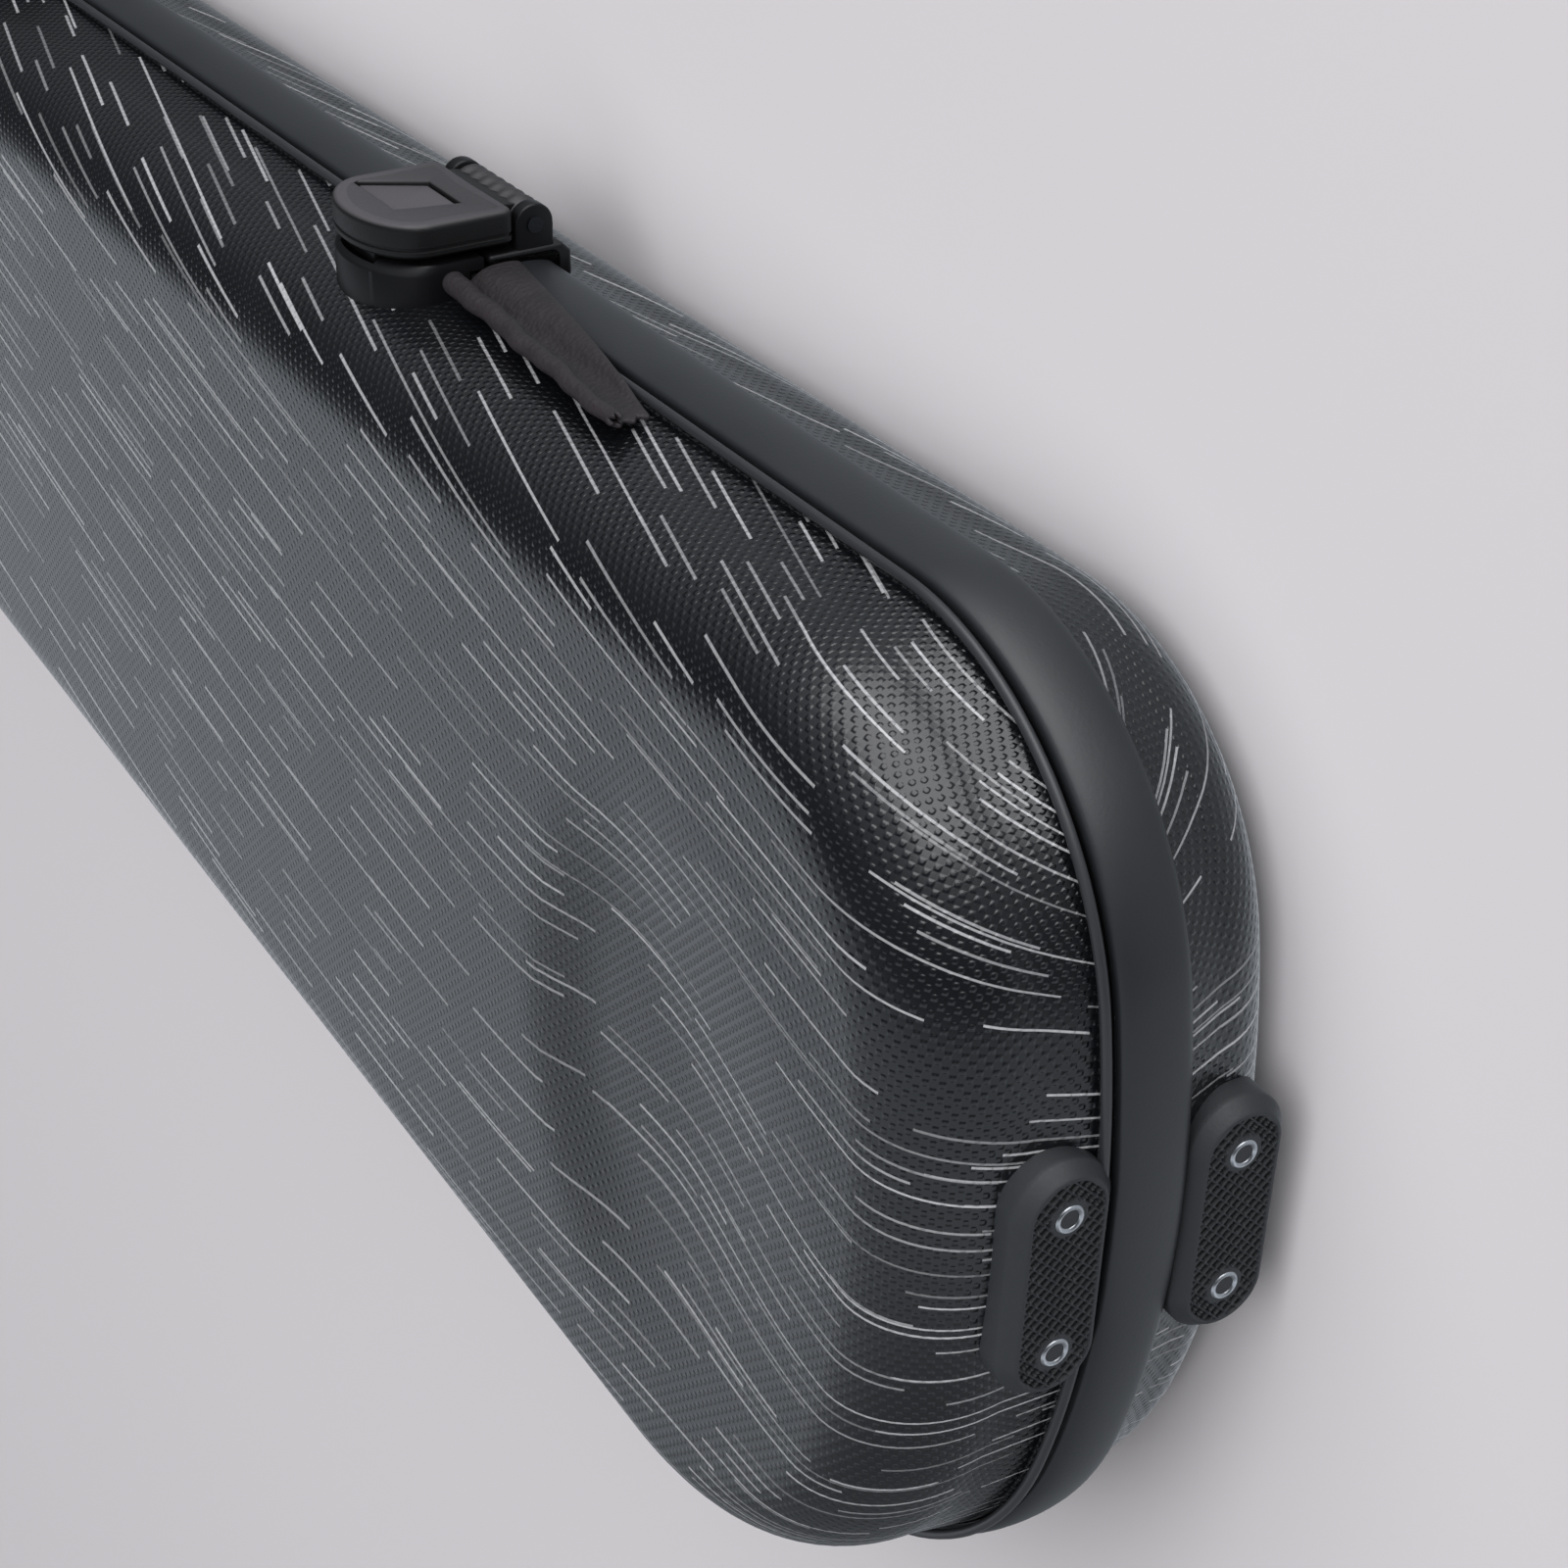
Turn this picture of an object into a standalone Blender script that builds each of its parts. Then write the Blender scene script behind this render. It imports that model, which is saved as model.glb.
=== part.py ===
"""Bow case: a long, slightly tapered hard-shell case for two stringed-instrument bows.

Two thin moulded shells meet at a soft rim strip. The case lies on its back shell, with the lid on top,
the latches and the handle on its front side (-Y) and the hinges on its back side, the spine (+Y).
+X runs from the wide end to the narrow end. The origin is on the flat bottom, midway along the case.
"""

import math

import bmesh
import bpy
from mathutils import Matrix, Vector

MM = 0.001

# Plan outline of the case, at the rim
LENGTH = 790.0 * MM
WIDE_WIDTH = 146.6 * MM
NARROW_WIDTH = 91.2 * MM
WIDE_NOSE_RADIUS = 135.6 * MM
WIDE_NOSE_SHARE = 0.562
WIDE_FRONT_CORNER = 41.2 * MM
WIDE_SPINE_CORNER = 60.6 * MM
NARROW_NOSE_RADIUS = 85.0 * MM
NARROW_NOSE_SHARE = 0.548
NARROW_FRONT_CORNER = 27.0 * MM
NARROW_SPINE_CORNER = 36.0 * MM

# Section of the shells
BASE_DEPTH = 18.0 * MM
LID_DEPTH = 25.0 * MM
SHELL_WALL = 1.6 * MM
WALL_DRAFT = 1.4 * MM
EDGE_ROUND = 13.3 * MM
STRAIGHT_WALL_SHARE = 0.35
DISH_DEPTH = 3.0 * MM
DISH_LENGTH = 68.0 * MM
DISH_WIDTH = 98.0 * MM
DISH_FROM_END = 60.0 * MM
DISH_SHARE = 0.47
DISH_FLAT_SHARE = 0.3

# Rim strip, lid piping and the lid's locating lip
STRIP_WIDTH = 10.0 * MM
STRIP_EDGE = 0.8 * MM
STRIP_CROWN = 2.2 * MM
PIPING_DIAMETER = 1.4 * MM
PIPING_LIFT = 0.5 * MM
LIP_THICKNESS = 1.4 * MM
LIP_HEIGHT = 6.0 * MM
LIP_HOLD = 4.0 * MM
LIP_CLEARANCE = 0.6 * MM

# Gaps that neighbouring pieces keep
GAP = 0.3 * MM
SEAM_GAP = 0.4 * MM
OVERRUN = 2.0 * MM

# Feet and their tubular rivets
FOOT_LENGTH = 34.0 * MM
FOOT_WIDTH = 13.6 * MM
FOOT_CHAMFER = 1.6 * MM
END_FOOT_PROUD = 2.6 * MM
END_FOOT_SHARE = 0.539
SPINE_FOOT_PROUD = 7.8 * MM
SPINE_FOOT_FROM_END = 100.0 * MM
FOOT_DEPTH = 20.0 * MM
PAD_DEPTH = 6.0 * MM
RIVET_SPACING = 19.8 * MM
RIVET_HEAD_RADIUS = 2.2 * MM
RIVET_HEAD_HEIGHT = 0.8 * MM
RIVET_SHANK_RADIUS = 1.4 * MM
RIVET_BORE_RADIUS = 1.0 * MM
RIVET_BORE_DEPTH = 1.4 * MM
RIVET_LENGTH = 2.6 * MM

# Latches: a hinged hasp on the base, with a push button, closes over a catch on the lid
LATCH_FROM_END = 166.0 * MM
LATCH_WIDTH = 24.0 * MM
LATCH_PAD_TOP = 4.1 * MM
LATCH_PAD_DROP = 13.2 * MM
LATCH_PIVOT_DROP = 7.7 * MM
LATCH_PIVOT_OUT = 7.4 * MM
LATCH_BARREL_RADIUS = 2.9 * MM
LATCH_EAR_WIDTH = 2.4 * MM
LATCH_PIN_RADIUS = 1.2 * MM
HASP_UNDERSIDE = 5.4 * MM
HASP_THICKNESS = 4.8 * MM
HASP_REACH = 15.6 * MM
HASP_NOSE = 7.6 * MM
HASP_CLEAR = 0.5 * MM
BUTTON_WIDTH = 11.0 * MM
BUTTON_HEIGHT = 8.6 * MM
BUTTON_SKEW = 3.8 * MM
BUTTON_FLARE = 1.5 * MM
BUTTON_SHIFT = 1.4 * MM
BUTTON_UP = 5.0 * MM
BUTTON_THICKNESS = 3.4 * MM
BUTTON_RECESS = 0.6 * MM
BUTTON_FLANGE = 0.8 * MM
BUTTON_SEAT = 2.2 * MM
LEG_WIDTH = 9.0 * MM
LEG_THICKNESS = 1.8 * MM
LEG_UP = 11.6 * MM
LEG_TIP = 3.0 * MM
CATCH_TOP = 4.3 * MM
CATCH_HEIGHT = 15.6 * MM
CATCH_GROOVE_FLOOR = 2.2 * MM
CATCH_CHAMFER = 1.4 * MM
LEG_CLEARANCE = 1.0 * MM

# Handle on the front side, folded up against the lid
HANDLE_SPAN = 112.0 * MM
HANDLE_DEPTH = 28.0 * MM
HANDLE_LEG_RADIUS = 3.9 * MM
HANDLE_GRIP_RADIUS = 7.0 * MM
HANDLE_CORNER = 14.0 * MM
HANDLE_PIVOT_DROP = 13.6 * MM
HANDLE_PIVOT_OUT = 7.6 * MM
HANDLE_EYE_RADIUS = 4.0 * MM
HANDLE_EYE_WIDTH = 8.6 * MM
HANDLE_PIN_RADIUS = 1.6 * MM
HANDLE_EAR_WIDTH = 2.8 * MM
HANDLE_PAD_WIDTH = 20.0 * MM
HANDLE_PAD_TOP = 3.2 * MM
HANDLE_PAD_DROP = 20.0 * MM

# Hinges on the spine
HINGE_FROM_END = 180.0 * MM
HINGE_WIDTH = 36.0 * MM
HINGE_KNUCKLE_RADIUS = 2.0 * MM
HINGE_PIN_RADIUS = 0.9 * MM
HINGE_LEAF_TOP = 3.9 * MM
HINGE_LEAF_THICKNESS = 1.1 * MM
HINGE_BASE_LEAF_DROP = 19.0 * MM
HINGE_LID_LEAF_RISE = 12.0 * MM

# Pull tab of soft leather on the lid, beside the wide latch
TAB_FROM_LATCH = 13.4 * MM
TAB_LENGTH = 52.6 * MM
TAB_THICKNESS = 1.2 * MM
TAB_OVER_STRIP = 4.4 * MM
TAB_NEAR_RISE = 5.5 * MM
TAB_FAR_START = 3.8 * MM
TAB_FAR_RISE = 9.5 * MM
TAB_SEAT = 0.35 * MM
TAB_SETTLE = 1.35 * MM

# Interior
LINING_GAP = 0.5 * MM
LINING_DROP = 7.6 * MM
LID_LINING = 3.0 * MM
CHANNEL_WIDTH = 28.0 * MM
CHANNEL_FLOOR = 9.6 * MM
CHANNEL_FROM_SPINE = 14.0 * MM
CHANNEL_DIVIDER = 6.0 * MM
CHANNEL_FROM_WIDE_END = 33.0 * MM
CHANNEL_FROM_NARROW_END = 20.0 * MM
POCKET_WIDTH = 30.0 * MM
POCKET_FROM_WIDE_END = 80.0 * MM
POCKET_LENGTH = 250.0 * MM
POCKET_CORNER = 6.0 * MM
CLIP_FROM_END = 130.0 * MM
CLIP_LENGTH = 38.0 * MM
CLIP_WIDTH = 12.0 * MM
CLIP_THICKNESS = 2.4 * MM
POST_RADIUS = 1.5 * MM
POST_HEAD_RADIUS = 3.4 * MM
POST_HEAD_HEIGHT = 1.2 * MM
POST_DEPTH = 6.0 * MM

# Counts of faces along round stretches and along the sides
NOSE_STEPS = 3
CORNER_STEPS = 7
SIDE_STEPS = 8
DISH_STEPS = 5
FACE_STEPS = 8
EDGE_STEPS = 5
ROUND_STEPS = 12
RIVET_STEPS = 10
BEAD_STEPS = 6
STADIUM_STEPS = 6

# Places that follow from the sizes above
SPINE_Y = (WIDE_WIDTH + NARROW_WIDTH) / 4.0
WIDE_NOSE_FROM_SPINE = WIDE_WIDTH * WIDE_NOSE_SHARE
NARROW_NOSE_FROM_SPINE = NARROW_WIDTH * NARROW_NOSE_SHARE
WIDE_TIP = -LENGTH / 2.0
NARROW_TIP = LENGTH / 2.0
TAPER = math.atan((WIDE_WIDTH - NARROW_WIDTH) / LENGTH)
STRIP_LOW = BASE_DEPTH
STRIP_HIGH = BASE_DEPTH + STRIP_WIDTH
SEAM = STRIP_HIGH + SEAM_GAP / 2.0
LID_EDGE = STRIP_HIGH + SEAM_GAP
LID_TOP = LID_EDGE + LID_DEPTH
STRIP_REACH = GAP + STRIP_CROWN
HINGE_OUT = STRIP_REACH + GAP + HINGE_KNUCKLE_RADIUS
LINING_TOP = SEAM - LINING_DROP

UP = Vector((0.0, 0.0, 1.0))


def clear_scene():
    """Remove what the file opened with."""
    for obj in list(bpy.data.objects):
        bpy.data.objects.remove(obj, do_unlink=True)


def make_collection(name):
    """A new collection linked to the scene."""
    collection = bpy.data.collections.new(name)
    bpy.context.scene.collection.children.link(collection)
    return collection


def material(name, color, roughness, metallic=0.0):
    """A plain Principled material."""
    mat = bpy.data.materials.new(name)
    mat.use_nodes = True
    shader = mat.node_tree.nodes["Principled BSDF"]
    shader.inputs["Base Color"].default_value = (*color, 1.0)
    shader.inputs["Roughness"].default_value = roughness
    shader.inputs["Metallic"].default_value = metallic
    return mat


SHELL_LOOK = ((0.018, 0.019, 0.021), 0.38)
RUBBER_LOOK = ((0.030, 0.031, 0.033), 0.60)
PLASTIC_LOOK = ((0.014, 0.014, 0.015), 0.50)
METAL_LOOK = ((0.45, 0.45, 0.46), 0.35, 1.0)
LEATHER_LOOK = ((0.055, 0.050, 0.052), 0.70)
VELVET_LOOK = ((0.035, 0.037, 0.045), 0.95)


def add_object(name, mesh, look, smooth_angle=math.radians(35.0)):
    """Put a mesh in the case's collection with a material of its own."""
    obj = bpy.data.objects.new(name, mesh)
    case.objects.link(obj)
    mesh.shade_smooth()
    mesh.set_sharp_from_angle(angle=smooth_angle)
    mesh.materials.append(material(name + "_look", *look))
    return obj


def add_cutter(name, mesh):
    """Put a mesh in the cutters' collection, hidden from the model."""
    obj = bpy.data.objects.new(name, mesh)
    cutters.objects.link(obj)
    obj.hide_render = True
    obj.display_type = "WIRE"
    return obj


def boolean(obj, other, operation):
    """Add an exact Boolean modifier."""
    step = obj.modifiers.new(other.name, "BOOLEAN")
    step.operation = operation
    step.solver = "EXACT"
    step.object = other


def cut(obj, *others):
    """Take the other shapes out of the object."""
    for other in others:
        boolean(obj, other, "DIFFERENCE")


def join(obj, *others):
    """Add the other shapes to the object."""
    for other in others:
        boolean(obj, other, "UNION")


def finish_mesh(name, bm):
    """Close a bmesh into a mesh with its faces pointing out."""
    bmesh.ops.recalc_face_normals(bm, faces=bm.faces)
    mesh = bpy.data.meshes.new(name)
    bm.to_mesh(mesh)
    bm.free()
    return mesh


def prism(name, outline, low, high, place=Matrix()):
    """A flat outline in local X and Y, carried from low to high along local Z."""
    bm = bmesh.new()
    corners = [bm.verts.new((x, y, low)) for x, y in outline]
    face = bm.faces.new(corners)
    grown = bmesh.ops.extrude_face_region(bm, geom=[face])
    raised = [item for item in grown["geom"] if isinstance(item, bmesh.types.BMVert)]
    bmesh.ops.translate(bm, vec=UP * (high - low), verts=raised)
    bmesh.ops.transform(bm, matrix=place, verts=bm.verts)
    return finish_mesh(name, bm)


def cylinder(name, radius, low, high, place=Matrix(), steps=ROUND_STEPS):
    """A round bar along local Z."""
    bm = bmesh.new()
    bmesh.ops.create_cone(bm, cap_ends=True, segments=steps, radius1=radius, radius2=radius,
                          depth=high - low)
    bmesh.ops.translate(bm, vec=UP * (high + low) / 2.0, verts=bm.verts)
    bmesh.ops.transform(bm, matrix=place, verts=bm.verts)
    return finish_mesh(name, bm)


def block(name, low, high, place=Matrix()):
    """A box between two corners."""
    bm = bmesh.new()
    bmesh.ops.create_cube(bm, size=1.0)
    size = [b - a for a, b in zip(low, high)]
    middle = [(a + b) / 2.0 for a, b in zip(low, high)]
    bmesh.ops.scale(bm, vec=size, verts=bm.verts)
    bmesh.ops.translate(bm, vec=middle, verts=bm.verts)
    bmesh.ops.transform(bm, matrix=place, verts=bm.verts)
    return finish_mesh(name, bm)


def turned(name, profile, place, steps):
    """A profile in radius and height, turned round local Z with a Screw, then made a plain mesh."""
    mesh = bpy.data.meshes.new(name)
    edges = [(i, i + 1) for i in range(len(profile) - 1)]
    mesh.from_pydata([(r, 0.0, z) for r, z in profile], edges, [])
    spun = add_cutter(name + "_profile", mesh)
    screw = spun.modifiers.new("turn", "SCREW")
    screw.steps = steps
    screw.render_steps = steps
    screw.use_merge_vertices = True
    screw.merge_threshold = 0.00001
    return bake(spun, place)


def bake(obj, place=Matrix()):
    """The evaluated mesh of a helper object, moved to its place; the helper goes."""
    graph = bpy.context.evaluated_depsgraph_get()
    mesh = bpy.data.meshes.new_from_object(obj.evaluated_get(graph))
    name = obj.name
    bpy.data.objects.remove(obj, do_unlink=True)
    bm = bmesh.new()
    bm.from_mesh(mesh)
    bmesh.ops.remove_doubles(bm, verts=bm.verts, dist=0.000005)
    bmesh.ops.transform(bm, matrix=place, verts=bm.verts)
    return finish_mesh(name, bm)


def arc(centre, radius, start, end, steps):
    """Points of an arc, both ends included."""
    turn = [start + (end - start) * i / steps for i in range(steps + 1)]
    return [(centre[0] + radius * math.cos(a), centre[1] + radius * math.sin(a)) for a in turn]


def front_line(x):
    """Y of the front side's rim line at x."""
    return SPINE_Y - WIDE_WIDTH + (x - WIDE_TIP) * math.tan(TAPER)


class End:
    """One rounded end: a nose arc with a fillet into the front side and one into the spine."""

    def __init__(self, sign, nose, nose_from_spine, front_corner, spine_corner):
        self.sign = sign
        self.nose = nose
        self.centre = (sign * (LENGTH / 2.0 - nose), SPINE_Y - nose_from_spine)
        self.spine_corner = spine_corner
        self.front_corner = front_corner
        drop = self.centre[1] - (SPINE_Y - spine_corner)
        reach = math.sqrt((nose - spine_corner) ** 2 - drop ** 2)
        self.spine_centre = (self.centre[0] + sign * reach, SPINE_Y - spine_corner)
        self.front_centre = self.place_front()

    def place_front(self):
        """The fillet's centre lies on the front line moved inward and on a circle about the nose."""
        along = Vector((math.cos(TAPER), math.sin(TAPER)))
        inward = Vector((-math.sin(TAPER), math.cos(TAPER)))
        start = Vector((0.0, front_line(0.0))) + inward * self.front_corner
        away = start - Vector(self.centre)
        half = away.dot(along)
        root = math.sqrt(half ** 2 - away.length_squared + (self.nose - self.front_corner) ** 2)
        point = start + along * (-half + self.sign * root)
        return (point.x, point.y)

    def chain(self, side, inset):
        """Points from the tip to where the side's straight run starts."""
        tip = math.pi if self.sign < 0 else 0.0
        if side == "spine":
            centre, corner = self.spine_centre, self.spine_corner
            last = math.pi / 2.0
        else:
            centre, corner = self.front_centre, self.front_corner
            last = TAPER - math.pi / 2.0
        meet = math.atan2(centre[1] - self.centre[1], centre[0] - self.centre[0])
        if self.sign < 0:
            meet = meet % math.tau
            last = last % math.tau
        nose = arc(self.centre, self.nose - inset, tip, meet, NOSE_STEPS)
        bend = arc(centre, corner - inset, meet, last, CORNER_STEPS)
        return nose + bend[1:]


def side_stations(start, end):
    """X of the points along the straight sides, between the corners: close together beside the dish."""
    dish_end = WIDE_TIP + DISH_FROM_END + DISH_LENGTH / 2.0
    near = [start + (dish_end - start) * i / DISH_STEPS for i in range(1, DISH_STEPS + 1)]
    return near + [dish_end + (end - dish_end) * i / SIDE_STEPS for i in range(1, SIDE_STEPS)]


def chains(inset):
    """The outline moved inward, as two chains of like length from the wide tip to the narrow tip."""
    wide = End(-1.0, WIDE_NOSE_RADIUS, WIDE_NOSE_FROM_SPINE, WIDE_FRONT_CORNER, WIDE_SPINE_CORNER)
    narrow = End(1.0, NARROW_NOSE_RADIUS, NARROW_NOSE_FROM_SPINE, NARROW_FRONT_CORNER,
                 NARROW_SPINE_CORNER)
    start = max(wide.front_centre[0], wide.spine_centre[0]) + OVERRUN
    end = min(narrow.front_centre[0], narrow.spine_centre[0]) - OVERRUN
    stations = side_stations(start, end)
    lift = inset / math.cos(TAPER)
    front = wide.chain("front", inset)
    front += [(x, front_line(x) + lift) for x in stations]
    front += narrow.chain("front", inset)[::-1]
    spine = wide.chain("spine", inset)
    spine += [(x, SPINE_Y - inset) for x in stations]
    spine += narrow.chain("spine", inset)[::-1]
    return front, spine


def loop(inset):
    """The outline moved inward, as one closed loop of points."""
    front, spine = chains(inset)
    return front + spine[-2:0:-1]


def dish_drop(x, y):
    """How far the front face lies below its flat in the shallow oval dish near the wide end."""
    centre_x = WIDE_TIP + DISH_FROM_END
    centre_y = SPINE_Y - WIDE_WIDTH * DISH_SHARE
    away = math.hypot((x - centre_x) / (DISH_LENGTH / 2.0), (y - centre_y) / (DISH_WIDTH / 2.0))
    rise = min(max((away - DISH_FLAT_SHARE) / (1.0 - DISH_FLAT_SHARE), 0.0), 1.0)
    return DISH_DEPTH * (1.0 - rise * rise * (3.0 - 2.0 * rise))


def section():
    """Levels of the shell's section: height as a share of its depth, and inset from the rim line."""
    levels = [(0.0, 0.0), (STRAIGHT_WALL_SHARE, WALL_DRAFT)]
    for i in range(1, EDGE_STEPS + 1):
        turn = math.pi / 2.0 * i / EDGE_STEPS
        share = STRAIGHT_WALL_SHARE + (1.0 - STRAIGHT_WALL_SHARE) * math.sin(turn)
        levels.append((share, WALL_DRAFT + EDGE_ROUND * (1.0 - math.cos(turn))))
    return levels


def level_points(edge, depth, sign, share, inset, grow):
    """One ring of the shell's outer form, grown outward by a gap."""
    return [(x, y, edge + sign * share * (depth + grow)) for x, y in loop(inset - grow)]


def form_rings(edge, depth, sign, grow, extra=()):
    """Rings of a shell's outer form, from its rim edge to the flat face."""
    rings = [[(x, y, z) for x, y in loop(inset - grow)] for z, inset in extra]
    for share, inset in section():
        rings.append(level_points(edge, depth, sign, share, inset, grow))
    return rings


def add_face(bm, ring, steps, drop):
    """Fill a ring with rungs between its front and spine points, the inner ones moved down by a drop."""
    half = len(ring) // 2
    front = ring[:half + 1]
    spine = [ring[0]] + ring[:half - 1:-1]
    rows = []
    for left, right in zip(front, spine):
        inner = []
        if left is not right:
            for i in range(1, steps):
                point = left.co.lerp(right.co, i / steps)
                inner.append(bm.verts.new(point - UP * drop(point.x, point.y)))
        rows.append([left, *inner, right])
    for low, high in zip(rows, rows[1:]):
        low = low if len(low) > 2 or steps == 1 else [low[0]] * (steps + 1)
        high = high if len(high) > 2 or steps == 1 else [high[0]] * (steps + 1)
        for i in range(steps):
            corners = [low[i], low[i + 1], high[i + 1], high[i]]
            bm.faces.new([v for k, v in enumerate(corners) if v not in corners[:k]])


def loft(rings, closed_start, steps=1, drop=None):
    """Quads between rings, the last ring closed by a face and, if asked, the first one too."""
    bm = bmesh.new()
    made = [[bm.verts.new(p) for p in ring] for ring in rings]
    for low, high in zip(made, made[1:]):
        for i in range(len(low)):
            j = (i + 1) % len(low)
            bm.faces.new((low[i], low[j], high[j], high[i]))
    add_face(bm, made[-1], steps, drop)
    if closed_start:
        add_face(bm, made[0], 1, None)
    return bm


def skin(name, rings, wall, sign, look, steps=1, drop=None):
    """An open form given a wall inward."""
    bm = loft(rings, False, steps, drop)
    bmesh.ops.recalc_face_normals(bm, faces=bm.faces)
    middle = min(bm.faces, key=lambda face: sign * -face.calc_center_median().z)
    if middle.normal.z * sign < 0.0:
        bmesh.ops.reverse_faces(bm, faces=bm.faces)
    mesh = bpy.data.meshes.new(name)
    bm.to_mesh(mesh)
    bm.free()
    obj = add_object(name, mesh, look)
    solid = obj.modifiers.new("wall", "SOLIDIFY")
    solid.thickness = wall
    solid.offset = -1.0
    solid.use_even_offset = False
    return obj


def base_rings(grow=0.0):
    """The back shell's form, its edge standing up behind the rim strip."""
    return form_rings(STRIP_LOW, BASE_DEPTH, -1.0, grow, extra=[(STRIP_HIGH - GAP, 0.0)])


def lid_rings(grow=0.0, below=()):
    """The front shell's form."""
    return form_rings(LID_EDGE, LID_DEPTH, 1.0, grow, extra=below)


def rim_sweep(name, profile):
    """A closed profile of outward offsets and heights, carried round the whole rim."""
    bm = bmesh.new()
    rings = [[bm.verts.new((x, y, z)) for x, y in loop(-out)] for out, z in profile]
    for low, high in zip(rings, rings[1:] + rings[:1]):
        for i in range(len(low)):
            j = (i + 1) % len(low)
            bm.faces.new((low[i], low[j], high[j], high[i]))
    return finish_mesh(name, bm)


def side_place(side, x, height=SEAM):
    """A frame on a side of the rim: local X along it, local Y out of the case, local Z up."""
    if side == "front":
        out = Vector((math.sin(TAPER), -math.cos(TAPER), 0.0))
        point = Vector((x, front_line(x), height))
    elif side == "spine":
        out = Vector((0.0, 1.0, 0.0))
        point = Vector((x, SPINE_Y, height))
    else:
        out = Vector((-1.0, 0.0, 0.0))
        point = Vector((WIDE_TIP, x, height))
    along = out.cross(UP)
    place = Matrix((along, out, UP)).transposed().to_4x4()
    place.translation = point
    return place


def lying_along(place):
    """The same frame turned, so that local Z runs along the side and X and Y span out and up."""
    turn = Matrix(((0.0, 0.0, 1.0, 0.0), (1.0, 0.0, 0.0, 0.0), (0.0, 1.0, 0.0, 0.0), (0.0, 0.0, 0.0, 1.0)))
    return place @ turn


def facing_out(place):
    """The same frame turned, so that local Z points out of the case."""
    turn = Matrix(((1.0, 0.0, 0.0, 0.0), (0.0, 0.0, 1.0, 0.0), (0.0, -1.0, 0.0, 0.0), (0.0, 0.0, 0.0, 1.0)))
    return place @ turn


def stadium(length, width):
    """An oblong with half-round ends, along local X."""
    steps = STADIUM_STEPS
    reach = (length - width) / 2.0
    right = arc((reach, 0.0), width / 2.0, -math.pi / 2.0, math.pi / 2.0, steps)
    left = arc((-reach, 0.0), width / 2.0, math.pi / 2.0, 1.5 * math.pi, steps)
    return right + left


def piping_bead(grow):
    """Section of the piping, grown by a gap."""
    radius = PIPING_DIAMETER / 2.0
    centre = (GAP + radius, LID_EDGE + PIPING_LIFT + radius)
    return arc(centre, radius + grow, 0.0, math.tau, BEAD_STEPS)[:-1]


def make_shells():
    """Two thin shells, the strip on the back one, and the lid's piping and locating lip."""
    skin("back_shell", base_rings(), SHELL_WALL, -1.0, SHELL_LOOK)
    skin("front_shell", lid_rings(), SHELL_WALL, 1.0, SHELL_LOOK, FACE_STEPS, dish_drop)

    half = STRIP_WIDTH / 2.0
    bulge = [(GAP, STRIP_LOW), (GAP + STRIP_EDGE, STRIP_LOW)]
    for i in range(1, EDGE_STEPS):
        turn = math.pi * i / EDGE_STEPS
        rise = STRIP_EDGE + (STRIP_CROWN - STRIP_EDGE) * math.sin(turn)
        bulge.append((GAP + rise, STRIP_LOW + half * (1.0 - math.cos(turn))))
    bulge += [(GAP + STRIP_EDGE, STRIP_HIGH), (GAP, STRIP_HIGH)]
    add_object("rim_strip", rim_sweep("rim_strip", bulge), RUBBER_LOOK)

    add_object("lid_piping", rim_sweep("lid_piping", piping_bead(0.0)), RUBBER_LOOK)

    outer = -(SHELL_WALL + WALL_DRAFT * LIP_HOLD / (LID_DEPTH * STRAIGHT_WALL_SHARE) + LIP_CLEARANCE)
    inner = outer - LIP_THICKNESS
    lip = [(outer, LID_EDGE - LIP_HEIGHT), (outer, LID_EDGE + LIP_HOLD), (inner, LID_EDGE + LIP_HOLD),
           (inner, LID_EDGE - LIP_HEIGHT)]
    add_object("lid_lip", rim_sweep("lid_lip", lip), PLASTIC_LOOK)


def shell_cutters():
    """Solid copies of both shells' outer forms, grown by the gap that seated pieces keep."""
    base = add_cutter("base_form", finish_mesh("base_form", loft(base_rings(GAP), True)))
    below = [(LID_EDGE - OVERRUN, 0.0)]
    lid = add_cutter("lid_form", finish_mesh("lid_form", loft(lid_rings(GAP, below), True)))
    piping = add_cutter("piping_room", rim_sweep("piping_room", piping_bead(GAP)))
    return base, lid, piping


def make_foot(name, side, x, proud, height, rooms):
    """An oblong rubber foot with a chamfered top, seated on the shell's wall by two tubular rivets."""
    place = facing_out(side_place(side, x, height))
    bm = bmesh.new()
    shape = stadium(FOOT_LENGTH, FOOT_WIDTH)
    top = stadium(FOOT_LENGTH - 2.0 * FOOT_CHAMFER, FOOT_WIDTH - 2.0 * FOOT_CHAMFER)
    levels = [(shape, proud - FOOT_DEPTH), (shape, proud - FOOT_CHAMFER), (top, proud)]
    rings = [[bm.verts.new((px, py, z)) for px, py in ring] for ring, z in levels]
    for low, high in zip(rings, rings[1:]):
        for i in range(len(low)):
            j = (i + 1) % len(low)
            bm.faces.new((low[i], low[j], high[j], high[i]))
    bm.faces.new(rings[0])
    bm.faces.new(rings[-1])
    bmesh.ops.transform(bm, matrix=place, verts=bm.verts)
    foot = add_object(name, finish_mesh(name, bm), RUBBER_LOOK)
    cut(foot, *rooms)
    for number, along in enumerate((-RIVET_SPACING / 2.0, RIVET_SPACING / 2.0), 1):
        spot = place @ Matrix.Translation((along, 0.0, proud))
        make_rivet("%s_rivet_%d" % (name, number), spot, foot)


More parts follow.
